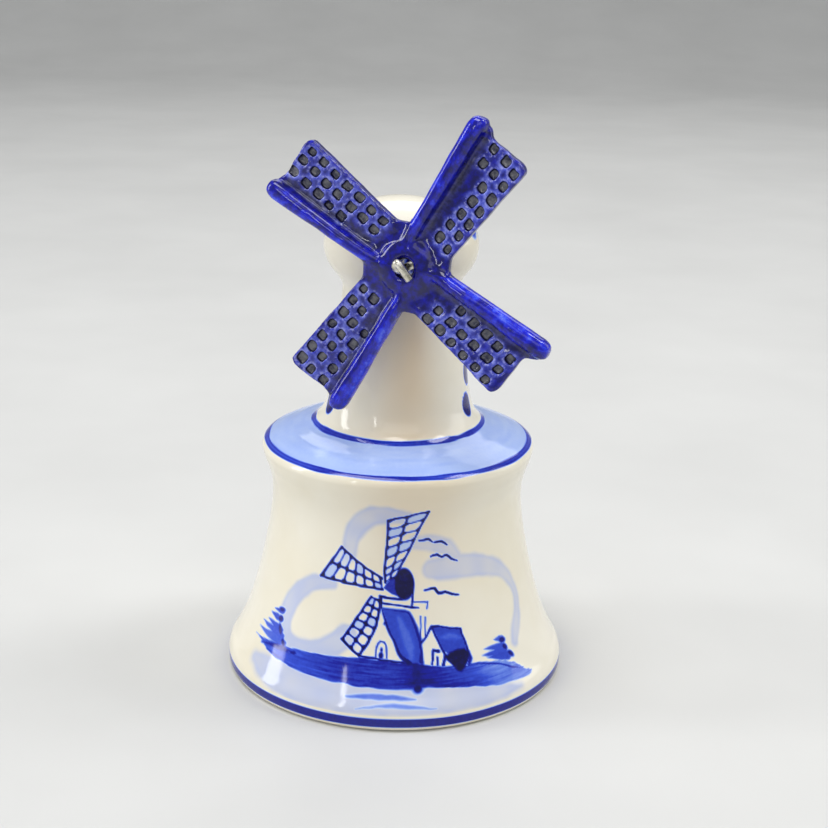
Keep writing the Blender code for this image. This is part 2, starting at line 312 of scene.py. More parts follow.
def tube_mesh(path, radius, sides):
    """Vertices and faces of a round wire along a path, its ends slightly rounded off."""
    along = np.gradient(path, axis=0)
    along /= np.linalg.norm(along, axis=1)[:, None]
    first, last = along[0] * WIRE_TIP * radius, along[-1] * WIRE_TIP * radius
    spots = np.vstack([path[:1], path[:1] + first, path[1:-1], path[-1:] - last, path[-1:]])
    scales = [1 - WIRE_TIP] + [1.0] * len(path) + [1 - WIRE_TIP]
    leans = np.vstack([along[:1], along, along[-1:]])
    angles = np.arange(sides) * 2 * math.pi / sides
    side = np.cross(along[0], (0.3, 0.9, 0.1))
    vertices = []
    for spot, scale, lean in zip(spots, scales, leans):
        side = side - side.dot(lean) * lean
        side /= np.linalg.norm(side)
        other = np.cross(lean, side)
        ring = spot + scale * radius * (np.cos(angles)[:, None] * side + np.sin(angles)[:, None] * other)
        vertices.extend(map(tuple, ring))
    faces = strip_faces(len(spots), sides)
    faces.append(tuple(range(sides))[::-1])
    faces.append(tuple(range((len(spots) - 1) * sides, len(spots) * sides)))
    return vertices, faces


# ================================================================ noise and brush strokes

def value_noise(x, y, seed):
    """Smooth noise from 0 to 1, one lump per unit, that repeats every 64 units."""
    cells = 64
    grid = np.random.default_rng(seed).random((cells, cells))
    column, row = np.floor(x).astype(int), np.floor(y).astype(int)
    across, up = x - column, y - row
    across = across * across * (3 - 2 * across)
    up = up * up * (3 - 2 * up)
    left, right = column % cells, (column + 1) % cells
    below, above = row % cells, (row + 1) % cells
    low = grid[below, left] * (1 - across) + grid[below, right] * across
    high = grid[above, left] * (1 - across) + grid[above, right] * across
    return low * (1 - up) + high * up


def blur_step(distance, softness):
    """1 well inside, 0 well outside, for a distance that is negative inside."""
    t = np.clip(0.5 - distance / (2 * softness), 0, 1)
    return t * t * (3 - 2 * t)


def line_distance(x, y, points, widths):
    """Distance to a bent line whose half-width changes along it; negative inside."""
    best = np.full(x.shape, 1e9)
    for (ax, ay), (bx, by), start, end in zip(points, points[1:], widths, widths[1:]):
        dx, dy = bx - ax, by - ay
        t = np.clip(((x - ax) * dx + (y - ay) * dy) / (dx * dx + dy * dy + 1e-9), 0, 1)
        reach = np.hypot(x - ax - t * dx, y - ay - t * dy) - (start + (end - start) * t) / 2
        best = np.minimum(best, reach)
    return best


def shape_distance(x, y, corners):
    """Distance to a closed outline; negative inside."""
    closed = list(corners) + [corners[0]]
    edge = line_distance(x, y, closed, [0.0] * len(closed))
    inside = np.zeros(x.shape, dtype=bool)
    for (ax, ay), (bx, by) in zip(closed, closed[1:]):
        if ay == by:
            continue
        inside ^= ((ay > y) != (by > y)) & (x < (bx - ax) * (y - ay) / (by - ay) + ax)
    return np.where(inside, -edge, edge)


class Painting:
    """Cobalt painted on a flat sheet: x runs round the bell and y is the height."""

    def __init__(self, x, y):
        self.x = x
        self.y = y
        self.ink = np.zeros(x.shape)
        self.haze = np.zeros(x.shape)
        self.wobble_x = 0.16 * (value_noise(x * 0.9, y * 0.9, 11) - 0.5)
        self.wobble_y = 0.16 * (value_noise(x * 0.9, y * 0.9, 12) - 0.5)

    def near(self, points, margin):
        """Indices of the sheet's points near some places."""
        spots = np.array(points)
        low, high = spots.min(axis=0) - margin, spots.max(axis=0) + margin
        return np.flatnonzero((self.x > low[0]) & (self.x < high[0])
                              & (self.y > low[1]) & (self.y < high[1]))

    def lay(self, which, distance, density, soft, darken):
        """Put colour where the distance is negative, over what is there or only to darken it."""
        cover = blur_step(distance, soft)
        if darken:
            self.ink[which] = np.maximum(self.ink[which], cover * density)
        else:
            self.ink[which] = self.ink[which] * (1 - cover) + density * cover

    def line(self, points, width=0.4, density=1.0, soft=0.12, darken=True):
        """A stroke through points, of one width or of one width per point."""
        widths = [width] * len(points) if np.isscalar(width) else width
        which = self.near(points, max(widths) + 2 * soft)
        x, y = self.x[which] + self.wobble_x[which], self.y[which] + self.wobble_y[which]
        self.lay(which, line_distance(x, y, points, widths), density, soft, darken)

    def curve(self, points, width, density=1.0, soft=0.12, darken=True):
        """A stroke along a smooth curve, its widths given at the points."""
        widths = [width] * len(points) if np.isscalar(width) else width
        dense = smooth_points(np.column_stack([points, widths]), 0.8)
        self.line(dense[:, :2].tolist(), dense[:, 2].tolist(), density, soft, darken)

    def area(self, corners, density, soft=0.15, darken=False, rough=0.0):
        """A filled outline; rough frays its edge along the brush."""
        which = self.near(corners, 1.0)
        x, y = self.x[which] + self.wobble_x[which], self.y[which] + self.wobble_y[which]
        frayed = rough * (value_noise(x * 0.7, y * 6.0, 5) - 0.5)
        self.lay(which, shape_distance(x, y, corners) + frayed, density, soft, darken)

    def dab(self, centre, radii, tilt=0.0, density=0.95, soft=0.18, darken=True):
        """A short round dab of the brush."""
        which = self.near([centre], max(radii) + 0.6)
        dx, dy = self.x[which] - centre[0], self.y[which] - centre[1]
        lean = math.radians(tilt)
        along = dx * math.cos(lean) + dy * math.sin(lean)
        across = -dx * math.sin(lean) + dy * math.cos(lean)
        reach = (np.hypot(along / radii[0], across / radii[1]) - 1) * min(radii)
        self.lay(which, reach, density, soft, darken)

    def blade(self, tip, butt, width, density):
        """A leaf-like stroke that starts as a point and ends full."""
        ends = np.array([tip, butt])
        stops = [ends[0] + (ends[1] - ends[0]) * t for t in (0, 0.25, 0.6, 0.9, 1)]
        self.line([tuple(stop) for stop in stops], [0.05, 0.5 * width, width, width, 0.6 * width],
                  density, 0.2)

    def wash(self, points, widths, strength, soft=0.5):
        """A broad pale stroke of well-thinned colour."""
        dense = smooth_points(np.column_stack([points, widths]), 0.8)
        which = self.near(dense[:, :2], max(widths))
        x, y = self.x[which], self.y[which]
        reach = line_distance(x, y, dense[:, :2].tolist(), dense[:, 2].tolist())
        ragged = 0.5 * (value_noise(x * 0.6, y * 0.6, 21) - 0.5)
        cover = blur_step(reach + ragged, soft)
        pooled_wash_and_trough_shade = 0.75 + 0.35 * value_noise(x * 0.35, y * 0.35, 22)
        edge = 0.25 * np.exp(-((reach + 0.35) / 0.35) ** 2)
        self.haze[which] = np.maximum(self.haze[which], cover * strength * (pooled_wash_and_trough_shade + edge))


# ================================================================ the painted scene

def along_edge(edge, fraction):
    """The place a fraction of the way along an edge given as an array of points."""
    place = np.clip(fraction, 0, 1) * (len(edge) - 1)
    index = min(int(place), len(edge) - 2)
    return edge[index] + (edge[index + 1] - edge[index]) * (place - index)


def paint_lattice(art, near_edge, far_edge, rungs, middle, seed):
    """One lattice sail: an inked shape with panes left between its ribs and rungs."""
    near, far = np.array(near_edge, dtype=float), np.array(far_edge, dtype=float)
    centre = near + (far - near) * middle
    art.area(near.tolist() + far[::-1].tolist(), 1.0, soft=0.12)
    for edge, width in ((near, 0.5), (far, 0.46), (np.array([near[-1], far[-1]]), 0.56)):
        art.line(edge.tolist(), width)
    chance = np.random.default_rng(seed)
    for row in range(rungs):
        for half, (start, end) in enumerate(((near, centre), (centre, far))):
            low, high = (row - 0.1 + 0.22 * half) / rungs, (row + 0.9 + 0.22 * half) / rungs
            corners = np.array([along_edge(start, low), along_edge(end, low + 0.02),
                                along_edge(end, high + 0.02), along_edge(start, high)])
            paint_pane(art, corners, chance.choice(PANE_TINTS))


def paint_pane(art, corners, ink):
    """A pale pane with its corners cut off, inset from the four given corners."""
    heart = corners.mean(axis=0)
    reach = np.linalg.norm(corners - heart, axis=1).mean()
    shrunk = heart + (corners - heart) * max(1 - PANE_INSET / reach, 0.45)
    cut = []
    for index, corner in enumerate(shrunk):
        for other in (shrunk[index - 1], shrunk[(index + 1) % 4]):
            cut.append((corner + (other - corner) * PANE_CUT).tolist())
    art.area(cut, ink, soft=0.13)


def paint_clouds(art):
    """Broad strokes of thin colour behind the mill, put on before everything else."""
    art.wash([(-9.4, 30.0), (-8.9, 33.4), (-7.2, 36.0), (-4.8, 37.5), (-1.5, 37.8), (2.0, 37.4)],
             [3.0, 3.6, 4.0, 3.8, 3.4, 2.4], 0.85)
    art.wash([(3.8, 32.6), (7.0, 32.4), (10.2, 31.4), (12.6, 29.6)], [2.8, 3.2, 3.0, 1.6], 0.75)
    art.wash([(6.8, 27.6), (10.5, 27.7), (15.0, 27.3), (20.0, 26.2), (24.0, 24.0), (26.2, 21.2),
              (26.9, 18.6), (26.0, 15.6), (24.6, 13.0), (23.8, 11.4)],
             [3.6, 4.4, 4.4, 3.7, 2.8, 2.0, 1.8, 2.3, 2.6, 1.8], 0.75)
    art.wash([(-12.2, 24.2), (-16.0, 23.6), (-19.4, 21.4), (-21.6, 18.2), (-22.2, 15.0),
              (-21.0, 12.6), (-17.5, 11.8), (-13.0, 12.4), (-8.6, 15.4)],
             [1.8, 2.9, 3.7, 3.9, 3.6, 3.0, 2.6, 3.8, 4.2], 1.0)


def paint_ground(art):
    """The bank of land, streaked along the brush, with the water under it."""
    top = [(-29.4, 9.95), (-25.0, 10.4), (-20.4, 10.9), (-17.0, 11.15), (-13.0, 11.6), (-8.0, 11.9),
           (-5.0, 12.2), (0.0, 12.0), (2.5, 11.7), (5.0, 11.2), (8.0, 10.7), (12.0, 10.1),
           (14.0, 10.4), (17.0, 9.9), (20.0, 9.3), (22.0, 8.2), (24.0, 6.6), (25.6, 5.6)]
    bottom = [(24.6, 5.2), (22.0, 5.35), (19.0, 5.6), (16.0, 5.9), (13.0, 6.6), (9.0, 7.2),
              (5.5, 7.5), (3.0, 7.4), (0.0, 7.5), (-5.0, 7.5), (-12.0, 7.7), (-18.0, 7.9),
              (-21.0, 8.3), (-24.7, 8.8), (-26.6, 9.5)]
    which = art.near(top + bottom, 0.8)
    x, y = art.x[which], art.y[which]
    streak = value_noise(x * 0.22, y * 3.4, 31) * 0.6 + value_noise(x * 0.7, y * 7.0, 32) * 0.4
    deep = 0.80 - 0.12 * blur_step(x + 14, 6) - 0.05 * blur_step(7.4 - x, 3)
    deep = deep + 0.12 * blur_step(np.abs(x - 6) - 4, 3) - 0.27 * blur_step(15.5 - x, 3.5)
    sunk = blur_step(x - 4, 8) * 0.06 + 0.1 * blur_step(8.4 - y, 0.8) * blur_step(-x + 6, 3)
    density = np.clip(deep - sunk + 0.26 * (streak - 0.5), 0.3, 0.93)
    frayed = 0.35 * (value_noise(x * 0.5, y * 5.0, 33) - 0.5)
    cover = blur_step(shape_distance(x, y, top + bottom) + frayed, 0.16)
    art.ink[which] = art.ink[which] * (1 - cover) + density * cover
    art.haze[which] *= 1 - cover
    art.curve([(13.6, 10.1), (16.5, 9.6), (19.5, 8.6), (21.6, 7.5), (23.3, 6.8)],
              [0.3, 0.5, 0.4, 0.5, 0.2], 0.82, 0.25)
    art.curve([(-26.8, 9.4), (-24.0, 10.0), (-21.0, 10.3), (-19.0, 10.4)],
              [0.2, 0.9, 1.1, 0.4], 0.82, 0.3)
    art.dab((-18.4, 10.35), (0.9, 0.35), 10, 0.88)
    art.line([(3.4, 11.9), (3.8, 9.4), (3.8, 7.6)], [1.6, 2.6, 1.7], 0.9, 0.7)
    art.dab((3.8, 7.5), (0.75, 0.8), 0, 0.95, 0.3)
    art.curve([(-7.4, 5.8), (-4.0, 6.1), (0.0, 6.1), (3.4, 5.8)], [0.3, 0.85, 0.85, 0.2], 0.5, 0.3)
    art.curve([(-5.6, 4.1), (-2.0, 4.8), (1.0, 4.85), (4.0, 4.5), (6.5, 4.2)],
              [0.2, 0.5, 0.75, 0.5, 0.15], 0.42, 0.3)
    art.wash([(-26.6, 6.6), (-22.0, 6.1), (-15.0, 5.6), (-8.0, 5.6), (0.0, 5.6), (8.0, 5.4),
              (16.0, 4.8), (22.0, 4.3)], [2.2, 4.6, 5.2, 5.2, 4.8, 4.4, 3.0, 0.8], 0.95, 1.0)


def paint_trees(art):
    """A spruce at each end of the bank: slanting blades, with dabs down the trunk."""
    left = [((-25.7, 16.0), (-22.8, 16.3)), ((-26.5, 15.1), (-22.9, 14.8)), ((-26.9, 13.8), (-22.2, 13.1)),
            ((-28.4, 12.9), (-21.6, 12.2)), ((-29.1, 11.5), (-20.8, 11.2))]
    left_dabs = [((-23.4, 16.5), (0.95, 0.45), 8), ((-23.2, 14.9), (0.75, 0.6), 0),
                 ((-22.7, 13.1), (1.15, 0.5), -58), ((-21.2, 11.2), (0.9, 0.45), -55)]
    right = [((18.7, 13.1), (20.9, 12.8)), ((16.3, 12.1), (20.8, 11.6)), ((15.7, 11.2), (21.0, 10.6)),
             ((16.6, 10.6), (21.8, 9.6))]
    right_dabs = [((20.6, 12.6), (0.8, 0.55), -15), ((20.9, 11.3), (0.75, 0.5), -50),
                  ((21.9, 9.8), (0.85, 0.45), -45)]
    for blades, dabs, width, wider, density, denser in ((left, left_dabs, 0.95, 0.12, 0.68, -0.03),
                                                        (right, right_dabs, 1.0, 0.15, 0.6, 0.02)):
        for index, (tip, butt) in enumerate(blades):
            art.blade(tip, butt, width + wider * index, density + denser * index)
        for spot, radii, tilt in dabs:
            art.dab(spot, radii, tilt, 0.9, 0.25)


def paint_mill(art):
    """The mill: tower, gallery, cap and three lattice sails."""
    art.area([(-2.5, 21.0), (-3.4, 18.0), (-4.4, 15.4), (-6.1, 12.6), (1.6, 11.6), (-0.8, 17.0),
              (-2.2, 20.6)], 0.03)
    art.area([(-2.4, 21.0), (0.0, 20.8), (2.6, 20.4), (3.2, 19.3), (3.9, 17.4), (4.8, 15.2),
              (5.1, 13.2), (5.0, 11.6), (1.5, 11.6), (0.4, 14.0), (-1.0, 17.3), (-2.0, 20.0)], 0.66)
    art.curve([(0.7, 19.4), (1.5, 17.5), (2.4, 15.0), (2.9, 12.6)], [0.7, 1.4, 1.6, 1.0], 0.54, 0.5,
              darken=False)
    art.curve([(-2.3, 20.9), (0.2, 20.6), (2.5, 20.2), (3.2, 18.8), (4.0, 16.6), (4.7, 14.0),
               (4.6, 11.8)], [0.4, 0.5, 0.6, 0.7, 0.8, 0.9, 1.2], 0.86, 0.3)
    art.curve([(-2.3, 20.6), (-1.5, 18.3), (0.0, 15.2), (1.2, 12.7), (2.6, 11.6)],
              [0.3, 0.5, 0.5, 0.7, 1.0], 0.93, 0.2)
    art.dab((-1.7, 18.5), (0.25, 0.45), -30)
    art.line([(-6.2, 12.5), (-3.0, 12.25), (1.8, 11.7)], 0.34)
    art.curve([(-3.1, 12.5), (-3.0, 14.3), (-2.4, 15.25), (-1.7, 15.05), (-1.35, 13.9), (-1.25, 12.5)],
              0.26, 0.85)
    art.dab((-2.25, 12.85), (0.4, 0.6))
    art.dab((-2.2, 13.8), (0.22, 0.4))
    for wall in (((4.7, 19.6), (4.55, 15.4)), ((5.55, 19.4), (5.45, 16.0))):
        art.line(wall, 0.24, 0.8)
    art.line([(-2.9, 23.05), (-0.6, 22.75), (1.4, 22.6)], [0.5, 0.4, 0.35])
    art.line([(3.0, 22.2), (6.0, 21.9)], 0.24, 0.8)
    art.line([(-2.5, 21.9), (0.5, 21.55), (3.0, 21.2), (4.4, 21.05)], [0.4, 0.3, 0.4, 0.2])
    art.line([(-2.6, 23.0), (-2.55, 21.0)], 0.42)
    art.line([(6.1, 22.0), (5.9, 20.8)], 0.26, 0.75)
    art.line([(3.4, 25.0), (3.15, 22.6), (3.05, 21.2)], 0.34)
    art.area([(-2.2, 24.5), (-1.7, 25.4), (-0.3, 26.8), (0.8, 27.3), (1.0, 22.9), (-0.6, 23.5)], 0.76)
    art.dab((1.65, 25.3), (1.95, 2.85), 4, 1.0, 0.2)
    paint_lattice(art, [(-1.9, 25.6), (-2.1, 27.5), (-1.9, 31.0), (-1.7, 34.0), (-1.6, 36.8)],
                  [(-0.2, 26.4), (1.2, 28.9), (2.9, 32.0), (4.5, 35.0), (6.3, 38.4)], 7, 0.48, 1)
    paint_lattice(art, [(-2.4, 24.3), (-5.0, 24.5), (-8.0, 24.75), (-11.5, 24.9), (-15.1, 25.0)],
                  [(-2.6, 26.2), (-5.0, 27.4), (-7.4, 28.7), (-9.2, 29.8), (-11.0, 30.9)], 6, 0.5, 2)
    paint_lattice(art, [(-4.5, 22.8), (-5.8, 20.7), (-7.1, 18.6), (-8.2, 16.7), (-9.3, 14.9)],
                  [(-2.9, 22.5), (-2.9, 20.2), (-3.4, 17.8), (-4.4, 15.2), (-6.0, 12.5)], 6, 0.52, 3)


def paint_house(art):
    """The house beside the mill, with a door, and a round bush at its corner."""
    art.area([(4.8, 15.0), (6.6, 17.5), (8.6, 13.2), (8.5, 10.9), (5.0, 11.2)], 0.03)
    art.area([(6.6, 17.8), (9.0, 17.3), (11.8, 16.7), (12.4, 15.8), (13.3, 12.6), (12.4, 12.9),
              (9.2, 12.7), (8.4, 13.4)], 0.68, rough=0.2)
    art.curve([(8.2, 15.6), (10.0, 15.6), (11.8, 15.0)], [0.5, 1.2, 0.6], 0.56, 0.4, darken=False)
    art.area([(9.0, 12.5), (10.1, 10.7), (8.7, 10.8)], 0.03)
    art.line([(4.6, 14.9), (5.6, 16.0), (6.6, 17.7), (9.0, 17.25), (12.0, 16.5), (12.9, 13.5),
              (13.3, 11.6)], [0.45, 0.32, 0.5, 0.32, 0.42, 0.4, 0.5], 0.92)
    art.line([(6.6, 17.6), (7.5, 15.4), (8.5, 13.2), (8.9, 12.4), (10.2, 10.7)],
             [0.4, 0.36, 0.42, 0.4, 0.3], 0.92)
    art.line([(8.8, 12.6), (8.6, 11.6), (8.35, 10.9)], [0.4, 0.5, 0.6], 0.9)
    art.line([(6.4, 11.2), (6.7, 13.5), (7.7, 13.25)], [0.34, 0.44, 0.6], 0.95)
    art.line([(7.4, 12.3), (7.35, 11.0)], 0.36, 0.93)
    art.area([(8.8, 12.2), (9.7, 12.9), (11.1, 13.2), (12.5, 13.1), (13.2, 12.3), (13.0, 11.2),
              (12.2, 10.0), (11.3, 9.4), (10.7, 9.6), (9.9, 10.7), (9.0, 11.6)], 1.0, 0.2)
    art.line([(13.2, 12.4), (13.3, 11.2), (12.9, 10.2)], [0.5, 0.9, 0.6], 0.86, 0.25)


def paint_birds(art):
    """Three pairs of birds, each a thin bent stroke or two."""
    for points, widths in (
            ([(4.5, 32.9), (5.6, 33.1), (6.5, 33.1), (7.2, 32.6)], [0.25, 0.44, 0.48, 0.3]),
            ([(7.6, 32.5), (9.2, 32.5), (10.3, 31.8)], [0.3, 0.46, 0.3]),
            ([(6.8, 29.9), (8.2, 30.25), (9.1, 29.7), (10.1, 29.9), (11.2, 29.1), (12.5, 28.6)],
             [0.3, 0.46, 0.4, 0.46, 0.42, 0.22]),
            ([(5.5, 24.0), (7.5, 24.2), (8.2, 23.35), (9.6, 23.4), (11.0, 22.75), (12.3, 22.5)],
             [0.25, 0.5, 0.5, 0.44, 0.42, 0.28])):
        art.curve(points, widths)


def paint_front(x, y):
    """The whole picture on the front of the skirt."""
    art = Painting(x, y)
    for paint in (paint_clouds, paint_ground, paint_trees, paint_mill, paint_house, paint_birds):
        paint(art)
    return art.ink, art.haze


def paint_sprigs(azimuth, height):
    """Loose leaf strokes on both flanks of the tower, and dabs on the cap above them."""
    stem = ((97, 49.8), (92, 54.5), (89, 59.5), (87, 65.5))
    leaves = ((92, 54.5, 104, 58.5), (90.5, 57.0, 102, 63.0), (89, 60.5, 80, 65.0),
              (94, 52.4, 108, 54.4), (88, 62.5, 96, 67.0))
    dabs = ((69.5, 52.4, 1.7, 2.1, -12, 0.93, 0.2), (78, 57.8, 1.7, 2.3, 10, 0.93, 0.2),
            (74, 84.4, 1.7, 1.1, 20, 0.76, 0.3), (90, 82.8, 1.2, 1.3, -30, 0.8, 0.3))
    art = Painting(np.degrees(azimuth) * FLANK_SCALE, height)
    for side in (-1, 1):
        scale = side * FLANK_SCALE
        art.curve([(scale * angle, z) for angle, z in stem], [0.5, 0.4, 0.35, 0.2], 0.85, 0.15)
        for angle, z, tip_angle, tip_z in leaves:
            art.blade((scale * tip_angle, tip_z), (scale * angle, z), 1.3, 0.9)
        for angle, z, across, tall, tilt, density, soft in dabs:
            art.dab((scale * angle, z), (across, tall), side * tilt, density, soft)
    return art.ink


# ================================================================ bell body

def outer_outline():
    """(radius, height) control points from the crown down to the foot, in four stretches."""
    cap = [(14.0 * math.sin(t), CAP_Z + (CROWN_Z - CAP_Z - SKIN) * math.cos(t))
           for t in np.linspace(0, math.pi / 2, 22)]
    tower = [(13.8, 79.4), (12.95, 77.4), (11.4, 75.3), (10.65, 74.0), (10.7, 71.5), (11.4, 66.0),
             (12.2, 60.3), (12.95, 54.3), (13.55, 51.5), (14.55, 49.5), TOWER_LINE]
    shoulder = [(20.0, 46.72), (23.5, 45.35), SHOULDER_LINE]
    corner = [(25.0, 44.35), (25.26, 43.6), (25.1, 42.5), (24.3, 40.0)]
    skirt = [(23.6, 37.3), (23.43, 35.0), (23.8, 30.0), (24.65, 25.0), (25.7, 20.0), (27.0, 15.0),
             (28.65, 10.0), (30.5, 6.0), (31.6, 4.0), (RIM_R - SKIN, 2.5), (31.85, 1.0), (31.5, 0.35),
             (31.1, 0.06)]
    return cap, tower, shoulder, corner + skirt


def inner_outline():
    """(radius, height) control points from the foot up to the shoulder, and on up to the crown."""
    skirt = [(28.6, 0.06), (28.75, 0.9), (28.9, 2.6), (28.0, 5.8), (26.1, 10.0), (24.4, 15.0),
             (23.1, 20.0), (22.05, 25.0), (21.2, 30.0), (20.85, 35.0), (20.9, 39.0), (20.6, 41.6),
             (19.6, 43.1)]
    tower = [(17.0, 44.4), (13.8, 45.8), (12.4, 47.2), (11.8, 49.6), (11.1, 52.0), (10.4, 56.0),
             (9.7, 61.0), (8.8, 67.0), (8.25, 74.0), (9.6, 76.3), (11.0, 78.6)]
    dome = [(11.7 * math.cos(t), CAP_Z + 5.8 * math.sin(t)) for t in np.linspace(0, math.pi / 2, 10)]
    dome[-1] = (0.0, dome[-1][1])
    return skirt, tower + dome


def roughen(piece):
    """Give a piece the casting's waviness, fading out at the rim and the axis."""
    spots = positions(piece)
    radius = np.hypot(spots[:, 0], spots[:, 1])
    keep = np.clip((30.5 - radius) / 6, 0, 1) * np.clip(radius / 5, 0, 1)
    azimuth, height = np.arctan2(spots[:, 0], -spots[:, 1]), spots[:, 2]
    wave = 0.05 * np.sin(2 * azimuth + 0.07 * height) + 0.03 * np.sin(5 * azimuth + 0.11 * height)
    change = (wave - 0.05) * keep / np.maximum(radius, 1.0)
    spots[:, :2] *= (1 + change)[:, None]
    set_positions(piece, spots)


def nearest(profile, spot):
    """Index of the profile's point nearest to a spot."""
    return int(np.argmin(np.hypot(profile[:, 0] - spot[0], profile[:, 1] - spot[1])))


def build_skirt():
    """Shoulder line down the skirt, round the foot and up the inside; dense where painted."""
    _, _, shoulder, down = outer_outline()
    inside, _ = inner_outline()
    control = shoulder[1:] + down
    spacing = []
    for (_, high), (_, low) in zip(control, control[1:]):
        if low >= PAINT_HIGH - 3 and high > 43:
            spacing.append(SHOULDER_ROW)
        elif low < 3.9:
            spacing.append(BAND_ROW)
        else:
            spacing.append(PAINT_ROW * (1))
    outside = smooth_points(control, spacing)
    outside = outside[nearest(outside, SHOULDER_LINE):]
    lining = smooth_points(inside, LINING_ROW)
    profile = np.vstack([outside, [[30.3, 0.0], [29.4, 0.0]], lining])
    profile[:, 0] = np.minimum(profile[:, 0], RIM_R - SKIN)
    columns = [FINE if PAINT_LOW < z < PAINT_HIGH and index < len(outside) else COARSE
               for index, (_, z) in enumerate(profile)]
    skirt = piece_from("bell_skirt", *turned_mesh(profile, columns, True))
    roughen(skirt)
    return skirt


def build_tower():
    """Crown down the cap and tower to the shoulder line, and the lining back up inside."""
    cap, tower, shoulder, down = outer_outline()
    inside, upper = inner_outline()
    control = cap + tower + shoulder + down[:1]
    spacing = [CAP_ROW] * (len(cap) - 1)
    for (_, high), (_, low) in zip(control[len(cap) - 1:], control[len(cap):]):
        near_line = low < 50 and (high > 47.4 or high < 46.8)
        spacing.append(TOWER_LINE_ROW if near_line else TOWER_ROW)
    outside = smooth_points(control, spacing)
    lining = smooth_points(inside[-2:] + upper, LINING_ROW)
    profile = np.vstack([outside[:nearest(outside, SHOULDER_LINE) + 1],
                         lining[nearest(lining, inside[-1]):]])
    columns = [np.arange(0, FULL_TURN, FINE_PER_COARSE // 2)] * len(profile)
    columns[0] = columns[-1] = None
    tower_piece = piece_from("bell_tower", *turned_mesh(profile, columns, False))
    roughen(tower_piece)
    drill_axle_hole(tower_piece)
    return tower_piece


def drill_axle_hole(tower_piece):
    """Cut the hole that the axle wire enters by."""
    shape = bmesh.new()
    depth = 9.0
    lean = Vector(AXLE).to_track_quat("Z", "Y").to_matrix().to_4x4()
    middle = Vector(HUB - AXLE * depth) * MM
    bmesh.ops.create_cone(shape, cap_ends=True, segments=32, radius1=HOLE_R * MM,
                          radius2=(HOLE_R + 0.2) * MM, depth=depth * MM,
                          matrix=Matrix.Translation(middle) @ lean)
    cutter = piece_from_bmesh("axle_hole_cutter", shape)
    subtract(tower_piece, cutter)
    bake_modifiers(tower_piece)
    bpy.data.objects.remove(cutter, do_unlink=True)


def ring_ink(radius, height, line, azimuth, seed):
    """Cobalt of a banded line, put on with a turning wheel and a soft brush."""
    turn = azimuth * 3.0
    drift = 0.2 * (value_noise(turn, turn * 0 + seed, seed) - 0.5)
    swell = 1 + 0.5 * (value_noise(turn * 1.7, turn * 0 + seed, seed + 1) - 0.5)
    reach = np.hypot(radius - line[0], height - line[1] - drift)
    core = blur_step(reach - LINE_HALF_WIDTH * swell, 0.14)
    pale_middle = 0.2 * np.exp(-(reach / 0.24) ** 2) * value_noise(turn * 0.8, turn * 0 + 5, seed + 2)
    return core * (0.8 - pale_middle)


def glaze_body(piece, paint):
    """Store where the cobalt, the washes of thinned colour, the bare clay and a painted warm tan lie on a
    piece; the tan is painted shade and reflection on the front, and the cobalt also holds a painted shade
    round the axle hole.
    """
    spots = positions(piece)
    x, y, z = spots.T
    radius = np.hypot(x, y)
    azimuth = np.arctan2(x, -y)
    normals = vertex_rows(piece, "normal")
    outward = (normals[:, 0] * x + normals[:, 1] * y) / np.maximum(radius, 0.1)
    outside = (outward > -0.05) | (normals[:, 2] > 0.3)
    ink = np.zeros(len(spots))
    haze = np.zeros(len(spots))
    on_cone = (outside & (z > SHOULDER_LINE[1] - 0.05) & (z < TOWER_LINE[1] + 0.05)
               & (radius > TOWER_LINE[0] - 0.3))
    mottle = value_noise(azimuth * 5.0 + 40, radius * 1.3, 41) - 0.5
    ink[on_cone] = SHOULDER_INK + 0.05 * mottle[on_cone]
    for line, seed in ((SHOULDER_LINE, 3), (TOWER_LINE, 7)):
        near = outside & (np.abs(radius - line[0]) < 2) & (np.abs(z - line[1]) < 2)
        ink[near] = np.maximum(ink[near], ring_ink(radius[near], z[near], line, azimuth[near], seed))
    band = outside & (z < 4) & (radius > 30)
    drift = 0.16 * (value_noise(azimuth * 3, azimuth * 0, 9) - 0.5)
    reach = np.abs(z - drift - 0.5 * (BAND_LOW + BAND_HIGH)) - 0.5 * (BAND_HIGH - BAND_LOW)
    ink[band] = np.maximum(ink[band], (blur_step(reach, 0.12) * 0.86)[band])
    painted = np.flatnonzero(outside & (np.abs(azimuth) < 1.3) & (z > PAINT_LOW) & (z < 40)
                             & (radius > 22.6))
    if paint and len(painted):
        front_ink, front_haze = paint_front(azimuth[painted] * PAINT_R, z[painted])
        ink[painted] = np.maximum(ink[painted], front_ink)
        haze[painted] = front_haze
    flank = np.flatnonzero(outside & (z > 49) & (z < 88) & (radius > 9.5))
    if len(flank):
        ink[flank] = np.maximum(ink[flank], paint_sprigs(azimuth[flank], z[flank]))
    # Painted shade: a dark cobalt ring on the cap round the axle hole, seen through the sails' bore, whose
    # inside lies in shade.
    offset = spots - HUB
    from_axle = np.linalg.norm(offset - (offset @ AXLE)[:, None] * AXLE, axis=1)
    behind_bore = (offset @ AXLE < 0) & (offset @ AXLE > -14) & outside
    ink = np.maximum(ink, blur_step(from_axle - BORE_SHADE_R, 0.4) * 0.97 * behind_bore)
    store(piece, "ink", np.clip(ink, 0, 1))
    store(piece, "haze", np.clip(haze, 0, 1))
    store(piece, "bare", blur_step(z - 0.05, 0.05) * (np.abs(radius - 29.9) < 1.4))
    # Painted shade and reflection: a warm tan tint down the front of the tower and the upper skirt, for how
    # the glaze looks seen face on.
    warm = 0.75 * np.exp(-((azimuth - 0.12) / 0.42) ** 2) * outside
    warm *= np.where(z > 49, np.clip((80 - z) / 14, 0, 1), 0.65 * np.clip((z - 14) / 22, 0, 1))
    store(piece, "warm", warm * (0.8 + 0.4 * value_noise(azimuth * 4 + 30, z * 0.12, 77)))


# ================================================================ sail cross

